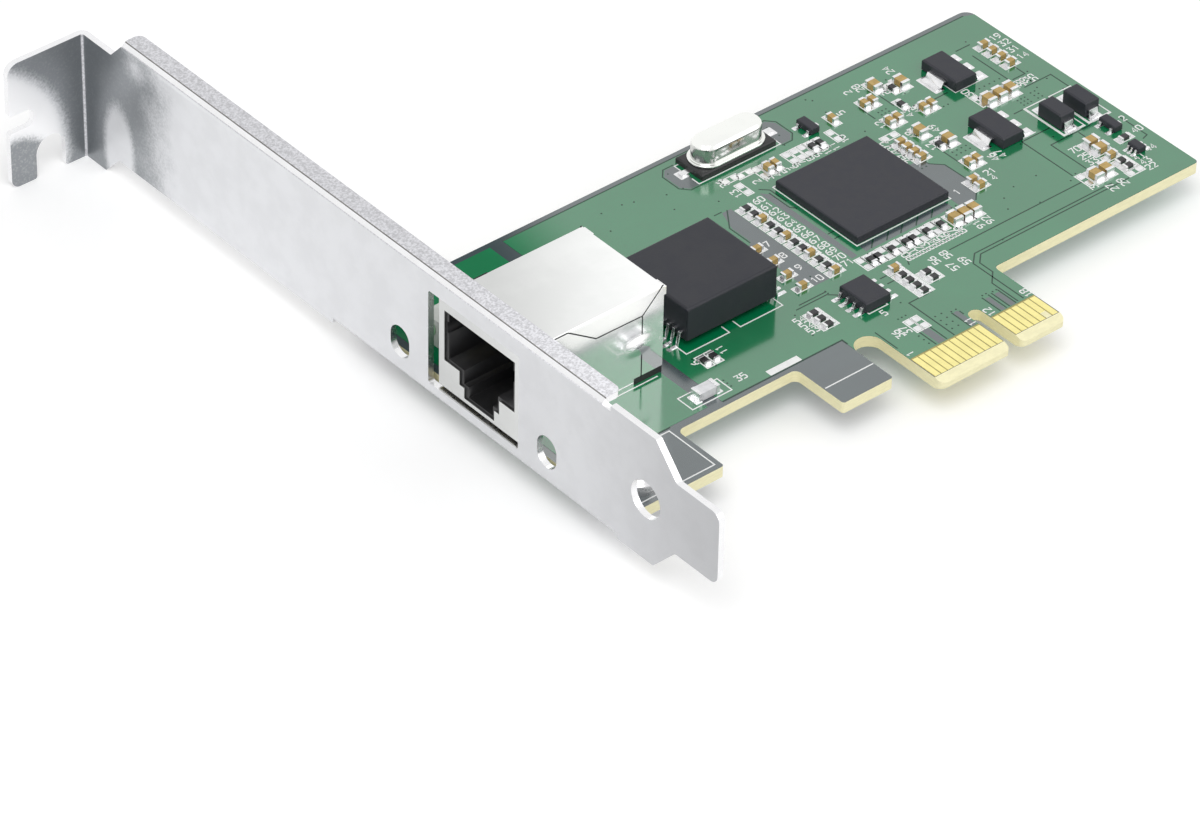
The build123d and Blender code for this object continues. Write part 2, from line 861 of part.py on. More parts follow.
def driver_chip():
    """Six-lead chip near the far edge."""
    centre = spot(*driver_place)
    body = package(centre, driver_wide, driver_long, body_lift, driver_top, tiny_edge)
    lead = gull_lead(tiny_lead_reach, tiny_lead_high, tiny_lead_foot, tiny_lead_wide)
    leads = []
    for side in (-1, 1):
        leads += lead_row(lead, centre, driver_wide / 2, driver_lead_count, driver_pitch, side)
    return body, leads


def chip_part(size, centre, upright):
    """Two-ended part on the board: body and end caps, along X or, if upright, along Y."""
    length, width, height, cap = size
    place = Pos(centre[0], centre[1], 0) * Rot(0, 0, 90 if upright else 0)
    inner = length / 2 - cap
    body = place * block((-inner, inner), (-width / 2, width / 2), (end_wrap, height))
    half = width / 2 + end_wrap
    ends = []
    for side in (-1, 1):
        limits = sorted((side * inner, side * length / 2))
        ends.append(place * block(limits, (-half, half), (0, height + end_wrap)))
    return body, ends


def row_of(size, start, step, count, upright):
    """Like parts in a row: the size, place and direction of each."""
    return [
        (size, (start[0] + step[0] * index, start[1] + step[1] * index), upright)
        for index in range(count)
    ]


def grid_rows(rows):
    """Rows of like parts whose places and steps are given on the board's grid."""
    parts = []
    for size, first, step, count, upright in rows:
        for _, place, turned in row_of(size, first, step, count, upright):
            parts.append((size, spot(*place), turned))
    return parts


def capacitor_places():
    """Size, place and direction of every ceramic capacitor."""
    column_x = chip_x - chip_side / 2 - column_gap
    column_y = chip_y + chip_side / 2 - column_inset - 2 * column_pitch
    parts = row_of(small_chip, (column_x, column_y), (0, -3 * column_pitch), column_sets, False)
    filter_x = body_centre + magnetics_long / 2 + large_lead_reach + filter_gap
    for index, rise in enumerate(filter_rows):
        shift = 0 if index < 2 else -filter_shift
        place = (filter_x + shift, magnetics_y - magnetics_wide / 2 + rise)
        parts.append((small_chip, place, False))
    above = (chip_x + above_capacitor_start, chip_y + chip_side / 2 + row_gap)
    parts += row_of(small_chip, above, (row_pitch, 0), above_capacitor_count, True)
    below = (chip_x + large_start, chip_y - chip_side / 2 - row_gap - large_drop)
    parts += row_of(large_chip, below, (large_pitch, 0), large_count, True)
    right = (chip_x + chip_side / 2 + supply_gap, chip_y + supply_start)
    parts += row_of(small_chip, right, (0, -supply_pitch), supply_count, False)
    return parts + grid_rows(capacitor_rows)


def resistor_places():
    """Size, place and direction of every chip resistor."""
    column_x = chip_x - chip_side / 2 - column_gap
    column_y = chip_y + chip_side / 2 - column_inset
    parts = []
    for first in (column_y, column_y - column_pitch):
        parts += row_of(resistor_chip, (column_x, first), (0, -3 * column_pitch), column_sets, False)
    above = (chip_x + above_resistor_start, chip_y + chip_side / 2 + row_gap)
    parts += row_of(resistor_chip, above, (row_pitch, 0), above_resistor_count, True)
    below = chip_y - chip_side / 2 - row_gap
    for step in below_steps:
        parts.append((resistor_chip, (chip_x + step * below_pitch - below_shift, below), True))
    return parts + grid_rows(resistor_rows)


def chip_parts():
    """Bodies and end caps of every two-ended part, by kind."""
    groups = {"ceramic_capacitors": [], "capacitor_ends": [], "resistors": [], "resistor_ends": []}
    for size, centre, upright in capacitor_places():
        body, ends = chip_part(size, centre, upright)
        groups["ceramic_capacitors"].append(body)
        groups["capacitor_ends"] += ends
    for size, centre, upright in resistor_places():
        body, ends = chip_part(size, centre, upright)
        groups["resistors"].append(body)
        groups["resistor_ends"] += ends
    body, ends = chip_part(bulk_chip, spot(*bulk_place), False)
    groups["bulk_capacitor"] = [body]
    groups["bulk_capacitor_ends"] = ends
    return groups


def build_nodes():
    """Every sub-part by name."""
    nodes = {
        "bracket": [bracket()],
        "bracket_screws": bracket_screws(),
        "circuit_board": [circuit_board()],
        "edge_contacts": edge_contacts(),
        "jack_shield": [jack_shield()],
        "jack_housing": [jack_housing()],
        "jack_contacts": jack_contacts(),
    }
    nodes["light_bodies"], nodes["light_lenses"] = status_lights()
    body, leads = magnetics()
    nodes["magnetics_body"], nodes["magnetics_leads"] = [body], leads
    chip = package((chip_x, chip_y), chip_side, chip_side, 0, chip_tall, chip_edge)
    nodes["controller_chip"] = [chip]
    base, can, tails = crystal()
    nodes["crystal_base"], nodes["crystal_can"], nodes["crystal_tails"] = [base], [can], tails
    nodes["regulator_bodies"], nodes["regulator_leads"] = regulators()
    nodes["diode_bodies"], nodes["diode_leads"] = diodes()
    body, leads = memory_chip()
    nodes["memory_body"], nodes["memory_leads"] = [body], leads
    nodes["transistor_bodies"], nodes["transistor_leads"] = transistors()
    body, leads = driver_chip()
    nodes["driver_body"], nodes["driver_leads"] = [body], leads
    nodes.update(chip_parts())
    return nodes


def main():
    os.makedirs("parts", exist_ok=True)
    for name, shapes in build_nodes().items():
        export_step(Compound(children=solids_of(shapes)), f"parts/{name}.step")


if __name__ == "__main__":
    main()
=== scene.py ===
import math

import bmesh
import bpy
import numpy as np
from mathutils import Matrix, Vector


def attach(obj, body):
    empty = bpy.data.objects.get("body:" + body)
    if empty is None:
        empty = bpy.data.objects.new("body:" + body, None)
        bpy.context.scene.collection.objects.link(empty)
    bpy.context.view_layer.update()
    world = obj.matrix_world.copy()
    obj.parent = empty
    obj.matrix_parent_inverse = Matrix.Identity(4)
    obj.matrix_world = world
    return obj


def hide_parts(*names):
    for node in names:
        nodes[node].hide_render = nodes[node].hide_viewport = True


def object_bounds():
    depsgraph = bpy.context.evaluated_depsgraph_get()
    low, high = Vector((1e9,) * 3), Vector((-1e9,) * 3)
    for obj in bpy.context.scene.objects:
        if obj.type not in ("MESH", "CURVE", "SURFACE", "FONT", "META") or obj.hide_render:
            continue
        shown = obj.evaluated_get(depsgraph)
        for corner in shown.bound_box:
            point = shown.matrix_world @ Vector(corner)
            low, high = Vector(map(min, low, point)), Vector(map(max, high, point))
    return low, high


bl_info = {
    "name": "Network card looks",
    "version": (1, 0, 0),
    "blender": (4, 5, 0),
    "location": "3D View > Sidebar > Network card",
    "description": "Dresses the single-port network card with its finishes, print, solder and studio",
    "category": "Object",
}

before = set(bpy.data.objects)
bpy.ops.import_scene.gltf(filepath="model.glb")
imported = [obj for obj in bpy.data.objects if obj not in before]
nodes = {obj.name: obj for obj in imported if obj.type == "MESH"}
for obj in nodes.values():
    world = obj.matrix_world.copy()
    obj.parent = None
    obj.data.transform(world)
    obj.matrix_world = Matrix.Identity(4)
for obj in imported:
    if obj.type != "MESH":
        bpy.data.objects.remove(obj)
cad_box = [list(corner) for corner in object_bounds()]

MM = 0.001
MICRON = 1e-6


# Sizes and colours that a user may change

def number(name, words, value, **how):
    """A property that holds one number."""
    return bpy.props.FloatProperty(name=name, description=words, default=value, **how)


def length(name, words, millimetres):
    """A length property in metres from a default in millimetres."""
    return number(name, words, millimetres * MM, unit="LENGTH", precision=6)


def colour(name, words, value):
    """A linear colour property with three channels."""
    return bpy.props.FloatVectorProperty(
        name=name, description=words, default=value, subtype="COLOR", size=3, min=0, max=1
    )


class BoardLook(bpy.types.PropertyGroup):
    mask: colour("Solder mask", "Glossy green lacquer over copper", (0.001, 0.165, 0.058))
    mask_bare: colour("Bare mask", "Lacquer where no copper lies below", (0.038, 0.060, 0.066))
    mask_line: colour("Trace gaps", "Lacquer in the gaps beside the traces", (0.001, 0.038, 0.018))
    laminate: colour("Laminate", "Sawn glass-fibre edge of the board", (0.91, 0.86, 0.55))
    print_white: colour("Print", "White printed marks", (0.86, 0.87, 0.86))
    gold: colour("Gold", "Plated edge fingers", (1.0, 0.90, 0.38))
    gap: colour("Finger gaps", "Laminate between the fingers", (0.42, 0.36, 0.13))
    tin: colour("Tin", "Solder and tinned pads", (0.88, 0.88, 0.89))
    print_wide: length("Print line", "Width of a printed line", 0.17)
    copper_thick: length("Copper thickness", "Height of the copper under the lacquer", 0.03)
    line_wide: length("Trace gap", "Width of the dark line beside a trace", 0.18)
    pad_reach: length("Pad reach", "How far a pad shows beyond its part", 0.36)
    label_high: length("Label height", "Height of a printed digit", 1.0)


class MetalLook(bpy.types.PropertyGroup):
    plate: colour("Bracket plate", "Zinc-plated sheet of the bracket", (0.61, 0.615, 0.63))
    # Painted shade and reflection round the bracket's fold, mixed into the plate's colour
    fold: colour("Bracket fold", "Painted shade and reflection round the fold", (0.31, 0.325, 0.34))
    # Painted highlight on the sheet's cut edges and on its bends
    cut: colour("Cut edge painted highlight", "Painted highlight on the sheet's cut edges and bends", (0.91, 0.91, 0.92))
    # The rim's speckle is the plating's own, and its darker tone is painted shade
    rim: colour("Bracket rim", "Speckled plating on top of the rims, darkened by painted shade", (0.50, 0.50, 0.52))
    # Painted dark lines beside the painted highlights on the bends
    line: colour("Bend lines", "Painted dark lines beside the highlighted bends", (0.17, 0.165, 0.16))
    shell: colour("Socket shell", "Polished tinned shell of the socket", (0.82, 0.83, 0.82))
    can: colour("Crystal can", "Polished can of the crystal", (0.90, 0.91, 0.88))
    screw: colour("Screws", "Plated screws", (0.70, 0.70, 0.71))
    sheet_bevel: length("Sheet edge", "Rounding of the sheet's cut edges", 0.12)
    shell_bevel: length("Shell edge", "Rounding of the shell's edges", 0.06)
    seam_wide: length("Seam", "Width of the shell's folded seams", 0.17)


class PartLook(bpy.types.PropertyGroup):
    chip: colour("Chip body", "Moulded bodies of the chips", (0.017, 0.018, 0.025))
    block: colour("Magnetics body", "Cast block of the magnetics", (0.008, 0.009, 0.015))
    socket: colour("Socket plastic", "Black plastic of the socket", (0.012, 0.012, 0.013))
    pale: colour("Pale ceramic", "Pale ceramic of the bulk capacitor", (0.72, 0.72, 0.74))
    tan: colour("Ceramic", "Tan ceramic of the capacitors", (0.50, 0.34, 0.11))
    resistor: colour("Resistor glaze", "Dark glaze of the resistors", (0.018, 0.018, 0.020))
    light_body: colour("Light body", "Body of the status lights", (0.72, 0.74, 0.70))
    lens: colour("Light lens", "Lens of the status lights", (0.38, 0.62, 0.40))
    body_bevel: length("Body edge", "Rounding of the moulded edges", 0.07)
    lead_bevel: length("Lead edge", "Rounding of the stamped leads", 0.035)


class StageLook(bpy.types.PropertyGroup):
    floor: colour("Floor", "Plain pale floor", (0.90, 0.90, 0.90))
    lens: number("Lens", "Focal length for a 36 mm wide frame", 205.468)
    ambient: number("Ambient", "Strength of the even studio light", 0.62)
    key: number("Key lamp", "Power of the large lamp", 4.0, unit="POWER")
    fill: number("Fill lamp", "Power of the side lamp", 1.2, unit="POWER")


# Meshes from arrays: points a row each, and faces as blocks of rows with the same count of corners

def new_mesh(name, points, faces):
    """Checked mesh from its points in metres and its blocks of faces."""
    mesh = bpy.data.meshes.new(name)
    mesh.from_pydata(points.tolist(), [], [row for block in faces for row in block.tolist()])
    mesh.validate()
    mesh.update()
    return mesh


def new_object(name, data):
    """New object in the scene that shows its data."""
    made = bpy.data.objects.new(name, data)
    bpy.context.scene.collection.objects.link(made)
    return made


def add_piece(name, parts, skin, smooth=False):
    """New piece from several parts in millimetres, riding on the card, with its finish."""
    points, faces = gather(parts)
    mesh = new_mesh(name, points * MM, faces)
    mesh.materials.append(finish_of(skin))
    mesh.polygons.foreach_set("use_smooth", [smooth] * len(mesh.polygons))
    piece = new_object(name, mesh)
    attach(piece, "root")
    return piece


def lofts(rings, closed=False):
    """
    Closed skins through rings of points.
    Vertex (n, i, j) is point j of section i of skin n, each section joined to the next by quads,
    and the first and last sections filled, or joined to each other where the skin is closed.
    """
    rings = np.asarray(rings, float)
    count, sections, points, _ = rings.shape
    index = np.arange(count * sections * points).reshape(count, sections, points)
    if closed:
        index = np.concatenate([index, index[:, :1]], axis=1)
    around = np.roll(index, -1, axis=2)
    quads = np.stack([index[:, :-1], around[:, :-1], around[:, 1:], index[:, 1:]], axis=-1)
    faces = [quads.reshape(-1, 4)]
    if not closed:
        faces += [index[:, 0, ::-1], index[:, -1]]
    return rings.reshape(-1, 3), faces


def gather(parts):
    """One array of points and one list of face blocks from several parts."""
    starts = np.cumsum([0] + [len(points) for points, _ in parts])
    faces = [block + start for start, (_, blocks) in zip(starts, parts) for block in blocks]
    return np.concatenate([points for points, _ in parts]), faces


def ribbon(path, wide, low, high, closed=False):
    """
    Flat strip along a line on the board.
    Each point moves sideways by half the width along the mitred normal (n1 + n2) / (1 + n1.n2) of
    its two runs, held short at sharp turns, and the four corners at the two heights make the section
    that is carried along.
    """
    path = np.asarray(path, float)
    if closed:
        ahead = np.roll(path, -1, axis=0) - path
        behind = np.roll(ahead, 1, axis=0)
    else:
        runs = np.diff(path, axis=0)
        ahead = np.concatenate([runs, runs[-1:]])
        behind = np.concatenate([runs[:1], runs])
    turn = np.array([[0, 1], [-1, 0]])
    n1 = (behind / np.linalg.norm(behind, axis=1, keepdims=True)) @ turn.T
    n2 = (ahead / np.linalg.norm(ahead, axis=1, keepdims=True)) @ turn.T
    sharpest = 0.7
    side = (n1 + n2) / np.maximum(1 + np.sum(n1 * n2, axis=1, keepdims=True), sharpest) * wide / 2
    corners = np.stack([path + side, path + side, path - side, path - side], axis=1)
    level = np.broadcast_to(np.array([low, high, high, low])[None, :, None], corners.shape[:2] + (1,))
    return lofts(np.concatenate([corners, level], axis=2)[None], closed)


def plates(outlines, low, high):
    """Flat plates: every outline (n, k, 2) at its low and its high level."""
    outlines = np.asarray(outlines, float)
    levels = [np.full(outlines.shape[:2] + (1,), level) for level in (low, high)]
    return lofts(np.stack([np.concatenate([outlines, level], axis=2) for level in levels], axis=1))


def round_plates(centres, radius, low, high, sides):
    """Flat discs: point k of a disc is its centre plus its radius times (cos, sin) of turn k."""
    turn = np.linspace(0, 2 * math.pi, sides, endpoint=False)
    circle = np.stack([np.cos(turn), np.sin(turn)], axis=1)
    return plates(np.asarray(centres)[:, None, :] + radius * circle[None], low, high)


def rounded_boxes(lows, highs, corner):
    """Outlines of rectangles with rounded corners, from their low and high corners."""
    lows, highs = np.asarray(lows, float), np.asarray(highs, float)
    largest = 0.49
    reach = np.minimum(corner, (highs - lows).min(axis=1) * largest)[:, None]
    signs = np.array([[1, 1], [-1, 1], [-1, -1], [1, -1]])
    middle, half = (lows + highs) / 2, (highs - lows) / 2
    rows = []
    for quarter, sign in enumerate(signs):
        angles = np.radians(90 * quarter + np.array([0, 45, 90]))
        centre = middle + sign * (half - reach)
        arc = np.stack([np.cos(angles), np.sin(angles)], axis=1)
        rows.append(centre[:, None, :] + reach[:, :, None] * arc[None])
    return np.concatenate(rows, axis=1)


def islands(name):
    """
    Lowest and highest X and Y of each separate solid of a node, as two arrays in millimetres.
    Points at one place count as one, and each takes the lowest number of its triangles' points
    until no number changes.
    """
    mesh = nodes[name].data
    mesh.calc_loop_triangles()
    points = np.empty(len(mesh.vertices) * 3)
    mesh.vertices.foreach_get("co", points)
    points = points.reshape(-1, 3)
    corners = np.empty(len(mesh.loop_triangles) * 3, np.int32)
    mesh.loop_triangles.foreach_get("vertices", corners)
    _, label, place = np.unique(np.round(points / MICRON), axis=0, return_index=True, return_inverse=True)
    place = place.ravel()
    triangles = place[corners].reshape(-1, 3)
    changed = True
    while changed:
        before = label.copy()
        lowest = label[triangles].min(axis=1)
        for corner in triangles.T:
            np.minimum.at(label, corner, lowest)
        changed = (label != before).any()
    solids, member = np.unique(label[place], return_inverse=True)
    lows, highs = np.full((len(solids), 3), np.inf), np.full((len(solids), 3), -np.inf)
    np.minimum.at(lows, member.ravel(), points)
    np.maximum.at(highs, member.ravel(), points)
    return lows[:, :2] / MM, highs[:, :2] / MM


# Copies of the CAD nodes: the gap in metres that is closed between points, and the angles in degrees
# up to which faces count as one and from which an edge is sharp
MERGE_GAP = 2e-7
FLAT_ANGLE = 0.6
SHARP_ANGLE = 30


def dressed(name, slot, bevel, segments, *skins, angle=SHARP_ANGLE, pick=None):
    """Merged copy of a CAD node with rounded edges and its finishes, which stands for the node."""
    work = bmesh.new()
    work.from_mesh(nodes[name].data)
    bmesh.ops.remove_doubles(work, verts=work.verts, dist=MERGE_GAP)
    bmesh.ops.dissolve_limit(work, angle_limit=math.radians(FLAT_ANGLE), verts=work.verts, edges=work.edges)
    mesh = bpy.data.meshes.new(name + "_dressed")
    work.to_mesh(mesh)
    work.free()
    mesh.materials.clear()
    for skin in skins:
        mesh.materials.append(finish_of(skin))
    count = len(mesh.polygons)
    picked = np.zeros(count, np.int32)
    if pick is not None:
        normals, centres = np.zeros(count * 3), np.zeros(count * 3)
        mesh.polygons.foreach_get("normal", normals)
        mesh.polygons.foreach_get("center", centres)
        picked = pick(normals.reshape(-1, 3), centres.reshape(-1, 3)).astype(np.int32)
    mesh.polygons.foreach_set("material_index", picked)
    mesh.polygons.foreach_set("use_smooth", [True] * count)
    mesh.set_sharp_from_angle(angle=math.radians(angle))
    mesh.update()
    piece = new_object(name + "_dressed", mesh)
    edges = piece.modifiers.new("Edges", "BEVEL")
    edges.width = bevel
    edges.segments = segments
    edges.limit_method = "ANGLE"
    edges.angle_limit = math.radians(angle)
    edges.harden_normals = True
    edges.use_clamp_overlap = True
    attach(piece, "root")
    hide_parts(name)


# Shader nodes

def plug(tree, socket, value):
    """Link an input to the socket that feeds it, or set it to a plain value."""
    if isinstance(value, bpy.types.NodeSocket):
        tree.links.new(value, socket)
    else:
        socket.default_value = value


def add(tree, kind, inputs=None, **settings):
    """New node with its settings and its inputs; returns its outputs."""
    made = tree.nodes.new("ShaderNode" + kind)
    for key, value in settings.items():
        setattr(made, key, value)
    for label, value in (inputs or {}).items():
        plug(tree, made.inputs[label], value)
    return made.outputs


def use_group(tree, name, inputs):
    """Outputs of a shader group that is built already."""
    return add(tree, "Group", inputs, node_tree=bpy.data.node_groups[name])


def maths(tree, kind, *values, **settings):
    """Result of a sum on values that are sockets or plain numbers."""
    return add(tree, "Math", dict(enumerate(values)), operation=kind, **settings)["Value"]


def inverse(tree, value):
    """1 less a value."""
    return maths(tree, "SUBTRACT", 1.0, value)


def ramp(tree, source, low, high):
    """Smooth step from 0 at the low value to 1 at the high one."""
    inputs = {"Value": source, "From Min": low, "From Max": high}
    return add(tree, "MapRange", inputs, interpolation_type="SMOOTHSTEP")["Result"]


def mix(tree, kind, factor, a, b):
    """Blend of two tones (RGBA) or two numbers (FLOAT) by a factor."""
    return add(tree, "Mix", {"Factor": factor, "A": a, "B": b}, data_type=kind)["Result"]


def new_group(name, inputs, outputs):
    """Empty shader group with its sockets by label and kind; returns it and its two ends' sockets."""
    group = bpy.data.node_groups.new(name, "ShaderNodeTree")
    for way, sockets in (("INPUT", inputs), ("OUTPUT", outputs)):
        for label, kind in sockets.items():
            group.interface.new_socket(name=label, in_out=way, socket_type="NodeSocket" + kind)
    return group, group.nodes.new("NodeGroupInput").outputs, group.nodes.new("NodeGroupOutput").inputs


# Part of the noise's range over which the cloud changes from one tone to the other
CLOUD_LOW, CLOUD_HIGH = 0.36, 0.64


def mottle_group():
    """Cloudy change between two tones, and a roughness that goes with it."""
    inputs = {"Vector": "Vector", "Scale": "Float", "Tone A": "Color", "Tone B": "Color"}
    inputs |= {"Rough A": "Float", "Rough B": "Float"}
    group, given, made = new_group("Mottled tone", inputs, {"Color": "Color", "Roughness": "Float"})
    cloud = {"Vector": given["Vector"], "Scale": given["Scale"], "Detail": 4.0, "Roughness": 0.6}
    mask = ramp(group, add(group, "TexNoise", cloud)["Fac"], CLOUD_LOW, CLOUD_HIGH)
    plug(group, made["Color"], mix(group, "RGBA", mask, given["Tone A"], given["Tone B"]))
    plug(group, made["Roughness"], mix(group, "FLOAT", mask, given["Rough A"], given["Rough B"]))


def grain_group():
    """Fine surface height: a soft grain plus sharper pits."""
    inputs = {"Vector": "Vector", "Scale": "Float", "Pits": "Float"}
    group, given, made = new_group("Fine grain", inputs, {"Height": "Float"})
    where = {"Vector": given["Vector"], "Scale": given["Scale"]}
    soft = add(group, "TexNoise", where | {"Detail": 3.0})["Fac"]
    pits = ramp(group, add(group, "TexVoronoi", where)["Distance"], 0.0, 0.5)
    plug(group, made["Height"], mix(group, "FLOAT", given["Pits"], soft, pits))


# Spots round the bracket's fold where painted highlight and painted shade lie in the plating's colour,
# and the lacquer's corner behind the socket where painted shade takes its gloss away:
# middle, squeeze of the heights, near and far distance, in millimetres
FOLD_PAINTED_LIGHT = (
    ((-58.7, 99.1, -1.0), 0.45, 2.2, 3.8), ((-58.7, 95.3, 13.6), 1.0, -1.4, 3.4),
    ((-78.0, 106.4, -2.2), 1.0, 15.0, 17.9),
)
FOLD_PAINTED_SHADE = (((-69.7, 106.4, -4.1), 1.0, 4.9, 7.0),)
PAINTED_SHADE_CORNER = ((-60.0, 58.0, 0.0), 1.0, 23.0, 36.0)

# Painted shade and reflection round the fold, in metres: where it starts and is full along Y,
# and how far the soft noise moves that; scales of the two noises; strength of the speckle,
# and the mask's value at which it ends
FOLD_START, FOLD_FULL, FOLD_DRIFT = 0.0895, 0.0985, 0.005
SOFT_NOISE, FINE_NOISE = 300, 3600
SPECKLE, SPECKLE_END = 3.0, 1.15


def blob(tree, vector, place, squeeze, near, far):
    """0 within the near distance of a place and 1 beyond the far one, with the heights squeezed."""
    scale = np.array([1.0, 1.0, squeeze])
    inputs = {0: vector, 1: tuple(scale), 2: tuple(-np.array(place) * scale * MM)}
    away = add(tree, "VectorMath", inputs, operation="MULTIPLY_ADD")["Vector"]
    reach = add(tree, "VectorMath", {0: away}, operation="LENGTH")["Value"]
    return ramp(tree, reach, near * MM, far * MM)


def fold_group():
    """
    Mask of painted shade and reflection round the bracket's fold, 1 at the fold and 0 along the plate.
    It falls with the distance below the fold plus a soft noise, is cleared inside the painted light spots,
    is filled again inside the painted shade spot, and is broken by a fine speckle where it changes.
    The shine is a painted highlight: the pale spot on the flange where the mask is low.
    """
    group, given, made = new_group("Fold painted shade and highlight", {"Vector": "Vector"}, {"Mask": "Float", "Shine": "Float"})
    place = given["Vector"]
    soft = add(group, "TexNoise", {"Vector": place, "Scale": SOFT_NOISE})["Fac"]
    fine = add(group, "TexNoise", {"Vector": place, "Scale": FINE_NOISE})["Fac"]
    height = add(group, "SeparateXYZ", {"Vector": place})["Y"]
    mask = ramp(group, maths(group, "MULTIPLY_ADD", soft, FOLD_DRIFT, height), FOLD_START, FOLD_FULL)
    for row in FOLD_PAINTED_LIGHT:
        mask = maths(group, "MULTIPLY", mask, blob(group, place, *row))
    for row in FOLD_PAINTED_SHADE:
        mask = maths(group, "MAXIMUM", mask, inverse(group, blob(group, place, *row)))
    slope = maths(group, "MULTIPLY", mask, maths(group, "SUBTRACT", SPECKLE_END, mask))
    speck = maths(group, "MULTIPLY", maths(group, "SUBTRACT", fine, 0.5), slope)
    total = maths(group, "MULTIPLY_ADD", speck, SPECKLE, mask, use_clamp=True)
    plug(group, made["Mask"], total)
    spot = inverse(group, blob(group, place, *FOLD_PAINTED_LIGHT[-1]))
    plug(group, made["Shine"], maths(group, "MULTIPLY", spot, inverse(group, total)))


def fall_group():
    """Painted light and shade: a colour scaled by a factor moving smoothly between two values along a
    direction.
    """
    limits = ("From Min", "From Max", "To Min", "To Max")
    inputs = {"Color": "Color", "Vector": "Vector", "Direction": "Vector"} | dict.fromkeys(limits, "Float")
    group, given, made = new_group("Painted light along a direction", inputs, {"Color": "Color"})
    along = add(group, "VectorMath", {0: given["Vector"], 1: given["Direction"]}, operation="DOT_PRODUCT")
    steps = {"Value": along["Value"]} | {label: given[label] for label in limits}
    factor = add(group, "MapRange", steps, interpolation_type="SMOOTHSTEP")["Result"]
    scaled = add(group, "VectorMath", {0: given["Color"], "Scale": factor}, operation="SCALE")
    plug(group, made["Color"], scaled["Vector"])


def dull_group():
    """Weight of the lacquer's gloss: 0 in the corner behind the socket, taken away as painted shade, and 1
    elsewhere.
    """
    group, given, made = new_group("Painted shade corner", {"Vector": "Vector"}, {"Mask": "Float"})
    plug(group, made["Mask"], blob(group, given["Vector"], *PAINTED_SHADE_CORNER))


# Finishes

def finish_of(name):
    """A finish by name."""
    return bpy.data.materials[name]


def open_finish(name):
    """A finish's node tree, its shader's inputs, and the object's coordinates."""
    tree = finish_of(name).node_tree
    return tree, tree.nodes["Principled BSDF"].inputs, add(tree, "TexCoord")["Object"]


def shade(value, amount):
    """An opaque colour made lighter or darker by a factor."""
    return tuple(min(1.0, channel * amount) for channel in value) + (1,)


def finish(name, base, change, roughs, cloud, grain, bump, metallic=0, ior=1.5, pits=0.3, stretch=(1, 1, 1)):
    """
    Material with a cloudy change between its base tone and a lighter or darker one, a roughness that
    follows it, and a fine grain. Cloud and grain are noise scales, and the bump is in microns.
    """
    bpy.data.materials.new(name).use_nodes = True
    tree, shader, place = open_finish(name)
    place = add(tree, "Mapping", {"Vector": place, "Scale": stretch})["Vector"]
    tone = use_group(tree, "Mottled tone", {
        "Vector": place, "Scale": cloud, "Tone A": shade(base, 1), "Tone B": shade(base, change),
        "Rough A": roughs[0], "Rough B": roughs[1],
    })
    height = use_group(tree, "Fine grain", {"Vector": place, "Scale": grain, "Pits": pits})["Height"]
    relief = add(tree, "Bump", {"Strength": 1.0, "Distance": bump * MICRON, "Height": height})
    plug(tree, shader["Base Color"], tone["Color"])
    plug(tree, shader["Roughness"], tone["Roughness"])
    plug(tree, shader["Normal"], relief["Normal"])
    shader["Metallic"].default_value = metallic
    shader["IOR"].default_value = ior


def darken_fold(name, tone, bright):
    """Mix a painted shade into a finish by the fold's mask, and a painted highlight by its shine."""
    tree, shader, place = open_finish(name)
    plain = shader["Base Color"].links[0].from_socket
    fold = use_group(tree, "Fold painted shade and highlight", {"Vector": place})
    dark = mix(tree, "RGBA", fold["Mask"], plain, tone)
    plug(tree, shader["Base Color"], mix(tree, "RGBA", fold["Shine"], dark, bright))


def fall(name, direction, low, high, at_low, at_high):
    """Paint light and shade into a finish's tone: scale it between two factors over two distances along a
    direction.
    """
    tree, shader, place = open_finish(name)
    plain = shader["Base Color"].links[0].from_socket
    step = use_group(tree, "Painted light along a direction", {
        "Color": plain, "Vector": place, "Direction": direction,
        "From Min": low * MM, "From Max": high * MM, "To Min": at_low, "To Max": at_high,
    })
    plug(tree, shader["Base Color"], step["Color"])


def gloss_coat(name, ior, rough):
    """Give a finish its gloss by a coat that leaves out the corner behind the socket as painted shade."""
    tree, shader, place = open_finish(name)
    plug(tree, shader["Coat Weight"], use_group(tree, "Painted shade corner", {"Vector": place})["Mask"])
    shader["Coat IOR"].default_value = ior
    shader["Coat Roughness"].default_value = rough


